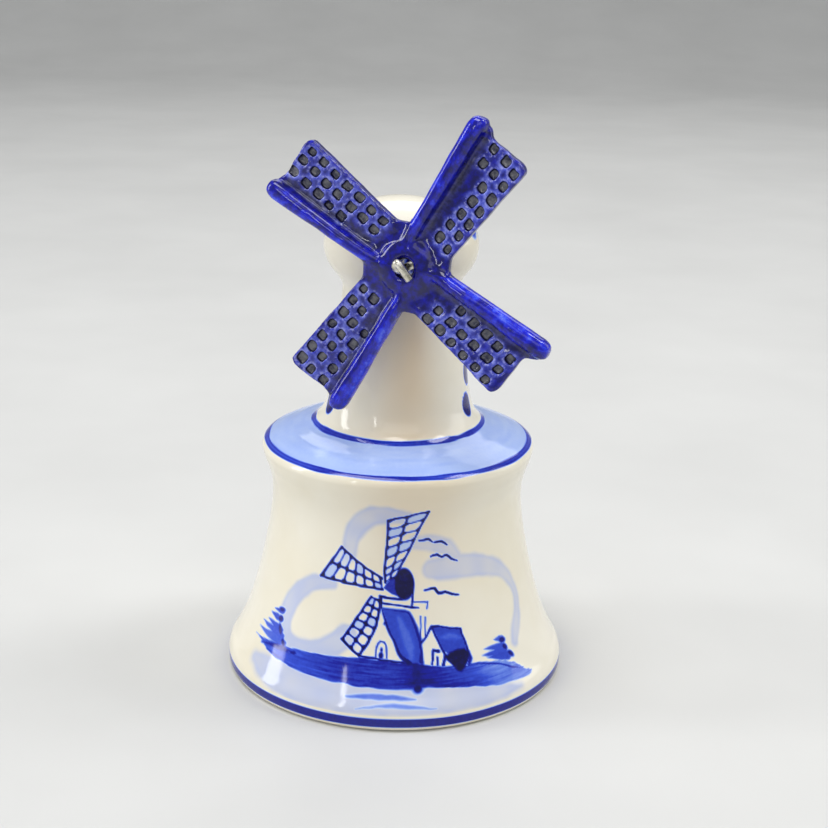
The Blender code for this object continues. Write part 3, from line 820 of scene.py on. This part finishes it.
def hub_matrix():
    """Rotation whose columns are right, up and out of the sails' plane."""
    out = AXLE / np.linalg.norm(AXLE)
    right = np.cross((0.0, 0.0, 1.0), out)
    right /= np.linalg.norm(right)
    up = np.cross(out, right)
    return np.column_stack([right, up, out])


def spar_left(radial):
    """Across, at a distance from the hub, of the spar's clear side."""
    return -3.3 + 0.087 * radial


def spar_right(radial):
    """And of the side that the panel grows from."""
    return -0.95 + 0.123 * radial


def far_edge(radial):
    """And of the panel's free edge."""
    return 4.7 + 0.285 * radial


def face_height(across, radial):
    """Height of the lattice face, pitched up towards its free edge."""
    return -0.15 + 0.145 * (across - spar_right(radial))


def loft(shape, sections):
    """Add to a bmesh a closed shape run through sections that have equal counts of points."""
    rings = [[shape.verts.new(spot) for spot in section] for section in sections]
    count = len(rings[0])
    for first, second in zip(rings, rings[1:]):
        for step in range(count):
            after = (step + 1) % count
            shape.faces.new((first[step], first[after], second[after], second[step]))
    shape.faces.new(rings[0][::-1])
    shape.faces.new(rings[-1])


def spar_ring(radial, shrink, crest, bow):
    """Rounded section of a spar, fuller on its clear side."""
    middle = 0.5 * (spar_left(radial) + spar_right(radial)) + bow
    half_width = 0.5 * (spar_right(radial) - spar_left(radial)) * shrink
    level = 0.5 * (crest + PANEL_BACK)
    half_height = 0.5 * (crest - PANEL_BACK) * (0.45 + 0.55 * shrink)
    ring = []
    for angle in np.arange(SPAR_SIDES) * 2 * math.pi / SPAR_SIDES:
        across = abs(math.cos(angle)) ** 0.8 * math.copysign(1, math.cos(angle))
        height = abs(math.sin(angle)) ** 0.85 * math.copysign(1, math.sin(angle))
        ring.append((middle + half_width * across, radial, level + half_height * height))
    return ring


def add_sail(shape, index, chance):
    """One spar and its panel, turned to their place on the hub."""
    start = len(shape.verts)
    crest = 2.0 + 0.15 * chance.random()
    stations = [(1.5, 0.9, 1.3), (4.0, 1.0, 1.45), (7.0, 1.0, crest), (13.0, 0.97, crest),
                (19.0, 1.0, crest - 0.05), (24.0, 1.05, crest), (26.6, 1.06, crest),
                (27.6, 0.92, crest - 0.15), (28.2, 0.66, crest - 0.4), (SPAR_LENGTH, 0.3, crest - 0.8)]
    bow = 0.12 * (chance.random() - 0.5)
    loft(shape, [spar_ring(radial, shrink, top, bow * math.sin(radial / 9))
                     for radial, shrink, top in stations])
    outline = [(-0.9, 2.2), (3.0, 1.2), (8.0, 1.5), (7.0, 3.0), (6.3, 5.2), (far_edge(12), 12.0),
               (far_edge(18), 18.0), (11.3, 23.2), (11.5, 24.0), (11.1, 24.7), (10.2, 25.15),
               (8.0, 25.6), (6.2, 25.95), (4.6, 26.1), (3.6, 26.5), (2.8, 27.2), (1.0, 27.4)]
    trim = 1 - TIP_TRIM[index] / 25
    outline = [(across, radial * trim if across > 3.5 else radial) for across, radial in outline]
    top, bottom = [], []
    for across, radial in outline:
        height = face_height(across, radial)
        top.append((across, radial, height))
        bottom.append((across, radial, max(height - PANEL_DEPTH, PANEL_BACK)))
    loft(shape, [bottom, top])
    shape.verts.ensure_lookup_table()
    spin = Matrix.Rotation(-(SAIL_TURN + 2 * math.pi * index / SAIL_COUNT), 4, "Z")
    for vertex in shape.verts[start:]:
        vertex.co = spin @ vertex.co


def turn_shape(shape, profile, sides):
    """Add to a bmesh a closed shape turned about Z from (radius, height) points."""
    rings = []
    for radius, height in profile:
        angles = np.arange(sides if radius else 1) * 2 * math.pi / sides
        rings.append([shape.verts.new((radius * math.cos(t), radius * math.sin(t), height))
                      for t in angles])
    for first, second in zip(rings, rings[1:]):
        for step in range(sides):
            after = (step + 1) % sides
            corners = [first[step % len(first)], first[after % len(first)],
                       second[after % len(second)], second[step % len(second)]]
            shape.faces.new(list(dict.fromkeys(corners)))


def pit_spots():
    """Places of a sail's lattice pits, in three columns that fan out with the panel."""
    return [(offset + slope * (start + pitch * row), start + pitch * row)
            for start, offset, slope, rows, pitch in ((7.0, 3.2, 0.287, 7, 2.72), (7.9, 0.85, 0.28, 7, 2.74),
                                                      (14.2, -1.5, 0.255, 5, 2.74))
            for row in range(rows)]


def mesh_links(piece):
    """The two ends of every edge, and how many edges meet at each vertex."""
    edges = np.empty(2 * len(piece.data.edges), dtype=np.int32)
    piece.data.edges.foreach_get("vertices", edges)
    a, b = edges.reshape(-1, 2).T
    vertices = len(piece.data.vertices)
    return a, b, np.bincount(a, minlength=vertices) + np.bincount(b, minlength=vertices)


def around(values, links):
    """Mean of a number over each vertex's neighbours."""
    a, b, count = links
    return (np.bincount(a, values[b], len(values)) + np.bincount(b, values[a], len(values))) / count


def smooth_mesh(piece, links, rounds, strength):
    """Relax vertices towards their neighbours."""
    spots = positions(piece)
    for _ in range(rounds):
        spots += strength * (np.column_stack([around(line, links) for line in spots.T]) - spots)
    set_positions(piece, spots)


def spread(values, links, rounds):
    """Blur a per-vertex number along the mesh."""
    for _ in range(rounds):
        values = 0.4 * values + 0.6 * around(values, links)
    return values


def ridge_measure(piece, links):
    """How far each vertex stands out of its surroundings: positive on crests, negative in nooks."""
    spots = positions(piece)
    blurred = np.column_stack([spread(line, links, 10) for line in spots.T])
    return ((spots - blurred) * vertex_rows(piece, "normal")).sum(axis=1)


def sail_coordinates(spots, turn):
    """Across, radial and height of each point in the frame of the sail it belongs to, and which."""
    local = (spots - HUB) @ turn
    angle = np.arctan2(local[:, 0], local[:, 1]) - SAIL_TURN + math.radians(17)
    index = np.floor(angle / (math.pi / 2)).astype(int) % SAIL_COUNT
    spin = SAIL_TURN + index * math.pi / 2
    across = local[:, 0] * np.cos(spin) - local[:, 1] * np.sin(spin)
    radial = local[:, 0] * np.sin(spin) + local[:, 1] * np.cos(spin)
    return across, radial, local[:, 2], index


def carve_pits(spots, turn, normals):
    """Press the lattice pits into the panels; returns new places, pit depth and edge closeness."""
    across, radial, _, index = sail_coordinates(spots, turn)
    facing = (normals @ turn)[:, 2] > 0.35
    pit = np.zeros(len(spots))
    lip = np.zeros(len(spots))
    for number, centre in enumerate(pit_spots()):
        for sail in range(SAIL_COUNT):
            chance = np.random.default_rng(100 * sail + number)
            jog = [chance.uniform(-0.14, 0.14), chance.uniform(-0.14, 0.14)]
            half = PIT_HALF + chance.uniform(-0.1, 0.08)
            middle_x, middle_y = (sum(parts) for parts in zip(centre, PIT_SHIFT[sail], jog))
            if middle_y < FIRST_PIT or middle_x - spar_right(middle_y) < SMOOTH_INNER[sail]:
                continue
            near = np.flatnonzero(facing & (index == sail) & (np.abs(across - middle_x) < 2)
                                  & (np.abs(radial - middle_y) < 2))
            dy = radial[near] - middle_y
            dx = across[near] - middle_x - 0.28 * dy
            dy = dy + 0.33 * dx
            outside_x = np.maximum(np.abs(dx) - half + PIT_CORNER, 0)
            outside_y = np.maximum(np.abs(dy) - half + PIT_CORNER, 0)
            reach = np.hypot(outside_x, outside_y) - PIT_CORNER
            reach += 0.24 * (value_noise(dx * 1.3 + 5 * number, dy * 1.3 + 9 * sail, 52) - 0.5)
            pit[near] = np.maximum(pit[near], blur_step(reach, 0.22))
            lip[near] = np.maximum(lip[near], np.exp(-((reach - 0.28) / 0.2) ** 2))
    return spots - PIT_DEPTH * pit[:, None] * turn[:, 2], pit, lip * (1 - pit)


def build_sail_cross():
    """Hub, spars and panels fused like a casting, softened like glaze, and pitted."""
    shape = bmesh.new()
    chance = np.random.default_rng(8)
    turn_shape(shape, [(0.0, -2.1), (3.6, -2.1), (4.5, -1.8), (4.95, -1.0), (5.0, 0.2), (4.6, 1.1),
                       (3.9, 1.45), (3.3, 1.5), (0.0, 1.5)], HUB_SIDES)
    for index in range(SAIL_COUNT):
        add_sail(shape, index, chance)
    bmesh.ops.recalc_face_normals(shape, faces=shape.faces)
    cross = piece_from_bmesh("sail_glaze", shape)
    fuse(cross)
    bake_modifiers(cross)
    cut_bore(cross)
    turn = hub_matrix()
    set_positions(cross, vertex_rows(cross, "co").astype(float) @ turn.T + HUB)
    links = mesh_links(cross)
    smooth_mesh(cross, links, 10, 0.6)
    blend_hub(cross, turn, links)
    normals = vertex_rows(cross, "normal")
    spots, pit, lip = carve_pits(positions(cross), turn, normals)
    across, radial, height, index = sail_coordinates(spots, turn)
    from_hub = np.hypot(across, radial)
    lumps = value_noise(across * 0.5 + 9 * index, radial * 0.35, 51) - 0.5
    lumps *= 0.16 * np.clip((from_hub - 4) / 3, 0, 1)
    set_positions(cross, spots + lumps[:, None] * normals)
    smooth_mesh(cross, links, 1, 0.35)
    ridge = spread(ridge_measure(cross, links), links, 2)
    on_spar = blur_step(np.abs(across - 0.5 * (spar_left(radial) + spar_right(radial))) - 1.5, 0.6)
    # Painted shade: the trough between each spar and its panel is coloured dark, with a grey painted sheen.
    trough = blur_step(np.abs(across - spar_right(radial) - 0.75) - 0.6, 0.6)
    # Painted highlight: a paler band along each spar's outer side, where the lamps would catch it.
    outer_side = blur_step(across - spar_left(radial) - 1.1, 0.7)
    store(cross, "outer_side", outer_side * np.clip((radial - 4) / 3, 0, 1) * (height > -1.0))
    store(cross, "trough", trough * np.clip((radial - 5) / 3, 0, 1) * (height > -1.5) * (radial < 25.6))
    store(cross, "ridge", np.clip(ridge / 0.22, -1, 1))
    # Painted shade: the bore is given half a pit's depth, which colours it as dark as the pit walls.
    in_bore = (from_hub < 2.05) & (height < 1.3)
    store(cross, "pit", np.maximum(spread(pit, links, 1), 0.5 * in_bore))
    store(cross, "lip", lip)
    store(cross, "field", np.clip(1.6 * spread(np.maximum(pit, lip), links, 9), 0, 1))
    store(cross, "spar", on_spar * (height > -0.6) * (radial > 3))
    store(cross, "grain", np.column_stack([across, radial, 7.0 * index + 0.3 * height]))
    cross.data.shade_smooth()
    return cross


def blend_hub(cross, turn, links):
    """Run the spars and panels into the hub in soft slopes, leaving the bore as it is."""
    spots = positions(cross)
    local = (spots - HUB) @ turn
    reach = np.hypot(local[:, 0], local[:, 1])
    weight = np.clip((11.5 - reach) / 4, 0, 1) * np.clip((reach - 2.3) / 1.2, 0, 1)
    weight *= np.clip((local[:, 2] + 1.0) / 0.6, 0, 1)
    height = local[:, 2]
    for _ in range(60):
        height = height + 0.7 * weight * (around(height, links) - height)
    set_positions(cross, spots + (height - local[:, 2])[:, None] * turn[:, 2])


def cut_bore(cross):
    """Cut the loose hole the axle passes through, with a rounded mouth."""
    shape = bmesh.new()
    turn_shape(shape, [(0.0, -4.0), (2.6, -4.0), (1.62, -1.75), (BORE_R, -1.2), (BORE_R, 0.6),
                       (1.62, 1.05), (1.95, 1.45), (2.6, 2.2), (0.0, 2.2)], BORE_SIDES)
    bmesh.ops.recalc_face_normals(shape, faces=shape.faces)
    cutter = piece_from_bmesh("bore_cutter", shape)
    subtract(cross, cutter)
    fuse(cross)
    bake_modifiers(cross)
    bpy.data.objects.remove(cutter, do_unlink=True)


# ================================================================ wires, cement and bead

def build_axle_wire():
    """Tail bent up inside the cap, a straight run through the hub, and the hook in front."""
    inside = [(0.0, 4.2, -15.3), (0.0, 2.8, -15.3), (0.0, 1.2, -15.0), (0.0, 0.2, -13.9)]
    shank = [(0.0, 0.0, -12.0), (0.0, 0.0, -5.0), (0.0, 0.0, 0.0)]
    hook = [(-0.15, -0.25, 1.4), (-0.62, -0.2, 2.3), (-0.85, 0.55, 3.0), (-0.45, 1.05, 3.35),
            (0.25, 0.35, 3.3), (1.0, -0.75, 2.95), (1.65, -1.75, 2.6)]
    path = smooth_points(inside + shank + hook, 0.25) @ hub_matrix().T + HUB
    return piece_from("axle_hook", *tube_mesh(path, WIRE_R, 24))


def build_bridge_wire():
    """Wire across the throat, dipped in the middle where the clapper hangs."""
    end_z = PIVOT_Z + BRIDGE_END_RISE
    half = [(1.0, 0.0, PIVOT_Z), (2.6, 0.0, PIVOT_Z + 0.15), (6.0, 0.0, PIVOT_Z + 1.7),
            (8.4, 0.0, end_z), (11.2, 0.0, end_z)]
    path = [(-x, y, z) for x, y, z in reversed(half)] + half
    return piece_from("bridge_wire", *tube_mesh(smooth_points(path, 0.4), WIRE_R, 20))


def build_cement(name, side):
    """A trowelled dab of cement: a lumpy collar round the bridge's end."""
    profile = [(WIRE_R + 0.05, 9.1), (1.4, 9.15), (2.0, 9.5), (2.3, 10.0), (2.4, 10.5), (2.3, 11.0),
               (1.7, 11.1), (WIRE_R + 0.05, 11.1)]
    rings = smooth_points(profile, 0.22)
    phases = np.random.default_rng(60 + side).uniform(0, 2 * math.pi, 3)
    vertices = []
    for radius, along in rings:
        for step in range(CEMENT_SIDES):
            angle = 2 * math.pi * step / CEMENT_SIDES
            lump = 0.07 * math.sin(3 * angle + phases[0] + along) + 0.05 * math.sin(5 * angle + phases[1])
            lump += 0.03 * math.sin(9 * angle + 4 * along + phases[2])
            reach = radius * (1 + lump * (radius - WIRE_R) / 2)
            vertices.append((side * along, reach * math.cos(angle),
                             PIVOT_Z + BRIDGE_END_RISE + reach * math.sin(angle)))
    faces = strip_faces(len(rings), CEMENT_SIDES, closed=True)
    return piece_from(name, vertices, faces if side < 0 else [face[::-1] for face in faces])


def build_clapper_wire():
    """Eye round the bridge, long shank, foot bent under the bead."""
    eye_z = PIVOT_Z - 0.2
    below = BEAD_Z - BEAD_R
    path = [(0.0, EYE_R * math.cos(angle), eye_z + EYE_R * math.sin(angle))
            for angle in np.radians(np.linspace(-62, 242, 25))]
    path += [(0.0, -0.25, eye_z - 2.15), (0.0, 0.0, eye_z - 3.4), (0.0, 0.0, 31.0), (0.0, 0.0, BEAD_Z),
             (0.0, 0.0, below - 0.1), (0.0, 0.35, below - 0.85), (0.0, 1.2, below - 1.1),
             (0.0, 2.6, below - 1.1)]
    return piece_from("clapper_rod", *tube_mesh(smooth_points(path, 0.35), CLAPPER_WIRE_R, 20))


def build_bead():
    """A glazed bead, very slightly out of round, with its bore."""
    start = math.asin(BEAD_BORE_R / BEAD_R)
    angles = np.linspace(start, math.pi - start, 44)
    profile = [(BEAD_R * math.sin(t), BEAD_Z + 0.985 * BEAD_R * math.cos(t)) for t in angles]
    bottom, top = profile[-1][1] + 0.25, profile[0][1] - 0.25
    profile += [(BEAD_BORE_R - 0.12, height) for height in (bottom, 0.5 * (bottom + top), top)]
    ring = np.arange(0, FULL_TURN, FINE_PER_COARSE * 2)
    return piece_from("bead_glaze", *turned_mesh(profile, [ring] * len(profile), True))


# ================================================================ materials

class Nodes:
    """Short calls for building one material's node tree; each returns its node's output."""

    def __init__(self, name):
        self.material = bpy.data.materials.new(name)
        self.material.use_nodes = True
        self.tree = self.material.node_tree
        self.shader = self.tree.nodes["Principled BSDF"]
        self.place = self.add("ShaderNodeTexCoord").outputs["Object"]

    def add(self, kind, **settings):
        node = self.tree.nodes.new(kind)
        for key, value in settings.items():
            setattr(node, key, value)
        return node

    def feed(self, node, **inputs):
        """Link or set inputs; an underscore stands for a space, and in0 for the first input."""
        for key, value in inputs.items():
            numbered = key.startswith("in") and key[2:].isdigit()
            socket = node.inputs[int(key[2:]) if numbered else key.replace("_", " ")]
            if isinstance(value, bpy.types.NodeSocket):
                self.tree.links.new(value, socket)
            elif value is not None:
                socket.default_value = value
        return node

    def attribute(self, name, output="Fac"):
        return self.add("ShaderNodeAttribute", attribute_name=name).outputs[output]

    def math(self, operation, first, second, clamp=False):
        node = self.add("ShaderNodeMath", operation=operation, use_clamp=clamp)
        return self.feed(node, in0=first, in1=second).outputs[0]

    def stretch(self, vector, scale):
        return self.feed(self.add("ShaderNodeMapping"), Vector=vector, Scale=scale).outputs[0]

    def noise(self, vector, scale, detail=3.0, roughness=0.55):
        node = self.add("ShaderNodeTexNoise")
        return self.feed(node, Vector=vector, Scale=scale, Detail=detail, Roughness=roughness).outputs["Fac"]

    def remap(self, value, low, high, to_low=0.0, to_high=1.0):
        node = self.add("ShaderNodeMapRange", interpolation_type="SMOOTHSTEP")
        return self.feed(node, Value=value, From_Min=low, From_Max=high, To_Min=to_low,
                         To_Max=to_high).outputs[0]

    def ramp(self, value, stops):
        """A colour ramp; its stops are (position, red, green, blue) in display values."""
        node = self.feed(self.add("ShaderNodeValToRGB"), Fac=value)
        elements = node.color_ramp.elements
        while len(elements) < len(stops):
            elements.new(0.5)
        for element, (position, *colour) in zip(elements, stops):
            element.position = position
            element.color = srgb(*colour)
        return node.outputs["Color"]

    def mix(self, factor, first, second):
        node = self.add("ShaderNodeMix", data_type="RGBA")
        return self.feed(node, Factor=factor, in6=first, in7=second).outputs[2]

    def bump(self, height, distance, strength, normal=None):
        node = self.add("ShaderNodeBump")
        return self.feed(node, Height=height, Distance=distance, Strength=strength,
                         Normal=normal).outputs[0]

    def finish(self, colour, roughness, normal=None, **constants):
        """Feed the shader, with its constants on its own sockets, and return the material."""
        self.feed(self.shader, Base_Color=colour, Roughness=roughness, Normal=normal, **constants)
        return self.material


def body_material():
    """White glaze over cobalt: the thicker the cobalt lies, the deeper the blue."""
    n = Nodes("white_glaze_blue_painting")
    cloudy = n.noise(n.place, 55.0, 3.0)
    cream = n.ramp(n.remap(cloudy, 0.3, 0.7), [(0.0, 238, 231, 210), (1.0, 243, 238, 222)])
    # Painted shade and reflection: the warm attribute mixes a tan tint into the front.
    cream = n.mix(n.attribute("warm"), cream, srgb(228, 206, 172))
    specks = n.remap(n.noise(n.place, 900.0, 2.0), 0.76, 0.82)
    cream = n.mix(n.math("MULTIPLY", specks, 0.35), cream, srgb(170, 150, 120))
    haze = n.mix(n.math("MULTIPLY", n.attribute("haze"), 0.7), cream, srgb(166, 184, 234))
    ink = n.attribute("ink")
    grain = n.math("SUBTRACT", n.noise(n.place, 1500.0, 2.0), 0.5)
    amount = n.math("MULTIPLY", grain, n.math("MULTIPLY", ink, 0.16))
    density = n.math("ADD", ink, amount, clamp=True)
    cobalt = n.ramp(density, [(0.0, 236, 236, 240), (0.2, 176, 198, 244),
                              (0.4, 112, 144, 236), (0.6, 52, 82, 214),
                              (0.8, 16, 24, 158), (1.0, 7, 5, 66)])
    colour = n.mix(n.remap(ink, 0.0, 0.16), haze, cobalt)
    bare = n.attribute("bare")
    clay = n.ramp(n.noise(n.place, 700.0, 4.0), [(0.3, 214, 205, 188), (0.7, 232, 226, 212)])
    colour = n.mix(bare, colour, clay)
    roughness = n.math("ADD", n.math("MULTIPLY", bare, 0.6), n.remap(cloudy, 0.3, 0.7, 0.07, 0.11))
    ripple = n.bump(n.noise(n.place, 130.0, 2.0), 0.00012, 0.6)
    fine = n.bump(n.noise(n.place, 2600.0, 1.0), 0.000004, 0.5, ripple)
    return n.finish(colour, roughness, fine, Specular_IOR_Level=0.45)


def sail_material():
    """Cobalt glaze: pale where it breaks over edges, with a painted highlight along each spar's outer side,
    painted shade near-black in the pits, the bore and the trough by each spar, and a grey painted reflection
    on the pit floors and in that trough.
    """
    n = Nodes("cobalt_glaze")
    grain = n.attribute("grain", "Vector")
    streaks = n.noise(n.stretch(grain, (0.9, 0.4, 1.0)), 1.0, 4.0, 0.6)
    mottle = n.noise(grain, 0.8, 3.0, 0.6)
    patches = n.noise(grain, 0.33, 2.0)
    ridge = n.attribute("ridge")
    spar = n.attribute("spar")
    pit = n.attribute("pit")
    thin_glaze_and_highlight = n.math("MULTIPLY", n.remap(ridge, 0.0, 0.9), 0.34)
    thin_glaze_and_highlight = n.math("ADD", thin_glaze_and_highlight, n.remap(mottle, 0.35, 0.75, 0.0, 0.34))
    thin_glaze_and_highlight = n.math("ADD", thin_glaze_and_highlight, n.math("MULTIPLY", spar, n.remap(streaks, 0.4, 0.7, 0.0, 0.36)))
    # Painted highlight along each spar's outer side, added to the thin glaze over edges and crests.
    outer_side = n.math("MULTIPLY", n.attribute("outer_side"), n.remap(patches, 0.35, 0.65, 0.06, 0.42))
    thin_glaze_and_highlight = n.math("ADD", thin_glaze_and_highlight, outer_side, clamp=True)
    blue = n.ramp(thin_glaze_and_highlight, [(0.0, 3, 2, 84), (0.25, 5, 6, 150), (0.5, 14, 24, 204),
                         (0.72, 38, 62, 230), (0.9, 82, 106, 240), (1.0, 126, 144, 246)])
    lattice = n.ramp(mottle, [(0.3, 34, 40, 166), (0.5, 80, 92, 206), (0.68, 130, 142, 230)])
    edge = n.math("MULTIPLY", n.attribute("lip"), n.remap(n.noise(grain, 1.5, 2.0), 0.5, 0.62))
    near_pits = n.math("MULTIPLY", n.attribute("field"), n.remap(patches, 0.3, 0.62, 0.3, 1.0))
    blue = n.mix(near_pits, blue, lattice)
    blue = n.mix(n.math("MULTIPLY", edge, 0.75), blue, srgb(158, 162, 232))
    # Painted shade with a grey painted sheen, in the trough next to each spar.
    pooled_wash_and_trough_shade = n.ramp(mottle, [(0.35, 16, 16, 60), (0.65, 72, 74, 104)])
    in_trough = n.math("MULTIPLY", n.attribute("trough"), n.remap(patches, 0.35, 0.65, 0.35, 0.9))
    blue = n.mix(in_trough, blue, pooled_wash_and_trough_shade)
    # Painted shade: the pit walls near-black; painted reflection: a grey sheen on the pit floors.
    walls = n.mix(n.remap(pit, 0.12, 0.4), blue, srgb(3, 2, 44))
    floor = n.ramp(mottle, [(0.34, 46, 48, 78), (0.62, 124, 124, 130)])
    colour = n.mix(n.remap(pit, 0.55, 0.85), walls, floor)
    rough = n.remap(mottle, 0.3, 0.7, 0.06, 0.14)
    wave = n.bump(n.noise(n.place, 260.0, 2.0), 0.0001, 0.7)
    fine = n.bump(n.noise(n.place, 2400.0, 2.0), 0.000008, 0.5, wave)
    return n.finish(colour, rough, fine, Specular_IOR_Level=0.6)


def wire_material():
    """Drawn wire, a little dulled and warm, with fine scratches."""
    n = Nodes("drawn_wire")
    dull = n.noise(n.place, 900.0, 4.0)
    colour = n.ramp(dull, [(0.3, 178, 174, 152), (0.5, 216, 212, 198), (0.7, 240, 238, 230)])
    roughness = n.remap(n.noise(n.place, 2200.0, 3.0), 0.3, 0.7, 0.16, 0.4)
    scratch = n.bump(n.noise(n.stretch(n.place, (1.0, 1.0, 0.2)), 5200.0, 2.0), 0.00001, 0.7)
    return n.finish(colour, roughness, scratch, Metallic=1.0)


def cement_material():
    """Dry, sandy, off-white cement."""
    n = Nodes("cement")
    sand = n.noise(n.place, 1600.0, 5.0, 0.7)
    colour = n.ramp(sand, [(0.3, 176, 170, 158), (0.55, 206, 200, 188), (0.75, 224, 220, 210)])
    pits = n.bump(n.noise(n.place, 2600.0, 4.0, 0.7), 0.00008, 0.9)
    return n.finish(colour, n.remap(sand, 0.3, 0.7, 0.75, 0.95), pits)


def bead_material():
    """White glaze with a few specks."""
    n = Nodes("bead_white_glaze")
    cloudy = n.noise(n.place, 160.0, 3.0)
    cream = n.ramp(cloudy, [(0.35, 232, 224, 206), (0.65, 242, 237, 225)])
    specks = n.remap(n.noise(n.place, 1100.0, 2.0), 0.74, 0.8)
    colour = n.mix(n.math("MULTIPLY", specks, 0.4), cream, srgb(160, 142, 116))
    ripple = n.bump(n.noise(n.place, 300.0, 2.0), 0.00008, 0.6)
    return n.finish(colour, n.remap(cloudy, 0.3, 0.7, 0.12, 0.2), ripple, Coat_Weight=0.6)


def floor_material():
    """Plain pale paper."""
    n = Nodes("pale_floor")
    tone = n.noise(n.place, 14.0, 3.0)
    colour = n.ramp(tone, [(0.3, 205, 205, 203), (0.7, 212, 212, 210)])
    return n.finish(colour, 0.6)


# ================================================================ stage

def build_floor():
    """A plain pale sweep that curves up far behind the object."""
    reach, back, lift, bend = 2.4, 1.6, 2.2, 0.6
    line = [(-1.6, 0.0), (back - bend, 0.0)]
    for angle in np.linspace(0, math.pi / 2, 16)[1:]:
        line.append((back - bend + bend * math.sin(angle), bend - bend * math.cos(angle)))
    line.append((back, lift))
    vertices = [(side * reach / MM, y / MM, z / MM) for y, z in line for side in (-1, 1)]
    faces = [(2 * i, 2 * i + 1, 2 * i + 3, 2 * i + 2) for i in range(len(line) - 1)]
    floor = piece_from("floor", vertices, faces)
    floor.data.materials.append(floor_material())


def area_light(name, place, size, power, colour=(1.0, 1.0, 1.0)):
    """A soft box at a place in metres, aimed at the middle of the bell."""
    data = bpy.data.lights.new(name, "AREA")
    data.shape = "RECTANGLE"
    data.size, data.size_y = size
    data.energy = power
    data.color = colour
    light = link_object(name, data)
    light.location = place
    light.rotation_euler = (Vector(LIGHT_TARGET) - Vector(place)).to_track_quat("-Z", "Y").to_euler()


def build_lights():
    """Soft studio light: boxes above, behind and to each side, a strip at left and a front fill."""
    area_light("overhead", (-0.14, -0.12, 0.8), (0.6, 0.28), 3.0)
    area_light("upper_right", (0.42, 0.0, 0.72), (0.22, 0.24), 1.5)
    area_light("back_box", (0.1, 0.75, 0.7), (0.9, 0.4), 2.0)
    area_light("left_box", (-0.85, 0.0, 0.34), (0.18, 0.6), 2.4)
    area_light("right_box", (0.95, 0.2, 0.5), (0.5, 0.8), 2.0, (1.0, 0.985, 0.96))
    area_light("strip", (-0.47, -0.67, 0.34), (0.035, 0.3), 0.32)
    area_light("front_fill", (0.15, -1.5, 1.2), (1.6, 0.8), 4.0, (1.0, 0.98, 0.95))
    world = bpy.data.worlds.new("studio")
    world.use_nodes = True
    background = world.node_tree.nodes["Background"]
    background.inputs["Color"].default_value = (0.9, 0.92, 0.95, 1.0)
    background.inputs["Strength"].default_value = 0.42
    bpy.context.scene.world = world


def build_camera():
    """Camera in front, above the cap, looking a little down."""
    yaw, pitch, roll = (math.radians(value) for value in (CAMERA_YAW, CAMERA_PITCH, CAMERA_ROLL))
    forward = Vector((math.sin(yaw) * math.cos(pitch), math.cos(yaw) * math.cos(pitch), -math.sin(pitch)))
    level = Vector((math.cos(yaw), -math.sin(yaw), 0.0))
    up = level.cross(forward)
    right = math.cos(roll) * level + math.sin(roll) * up
    up = right.cross(forward)
    data = bpy.data.cameras.new("camera")
    data.lens = CAMERA_LENS
    data.sensor_width = 36.0
    data.clip_start = 0.01
    camera = link_object("camera", data)
    turned = Matrix((right, up, -forward)).transposed().to_4x4()
    camera.matrix_world = Matrix.Translation((0.0, -CAMERA_BACK, CAMERA_HEIGHT)) @ turned
    bpy.context.scene.camera = camera


# ================================================================ assembly

def attach(piece, material, body, slot, *nodes):
    """Give a piece its material and its body, and hide the CAD nodes it stands for. Its slot, a finish name,
    is not used.
    """
    piece.data.materials.clear()
    piece.data.materials.append(material)
    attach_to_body(piece, body)
    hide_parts(*nodes)


def main():
    """Build every piece, give each its body and finish, and set the stage."""
    body, wire, cement = body_material(), wire_material(), cement_material()
    skirt = build_skirt()
    glaze_body(skirt, True)
    tower = build_tower()
    glaze_body(tower, False)
    attach(skirt, body, "bell", "body_glaze", "bell_body")
    attach(tower, body, "bell", "body_glaze", "bell_body")
    attach(build_sail_cross(), sail_material(), "sails", "sail_glaze", "sail_cross")
    attach(build_axle_wire(), wire, "bell", "wire", "axle_wire")
    attach(build_bridge_wire(), wire, "bell", "wire", "clapper_bridge")
    attach(build_cement("cement_left", -1), cement, "bell", "cement", "bridge_cement_left")
    attach(build_cement("cement_right", 1), cement, "bell", "cement", "bridge_cement_right")
    attach(build_clapper_wire(), wire, "clapper", "wire", "clapper_wire")
    attach(build_bead(), bead_material(), "clapper", "bead_glaze", "clapper_bead")
    build_floor()
    build_lights()
    build_camera()
    bpy.context.scene.view_settings.view_transform = "Standard"


main()
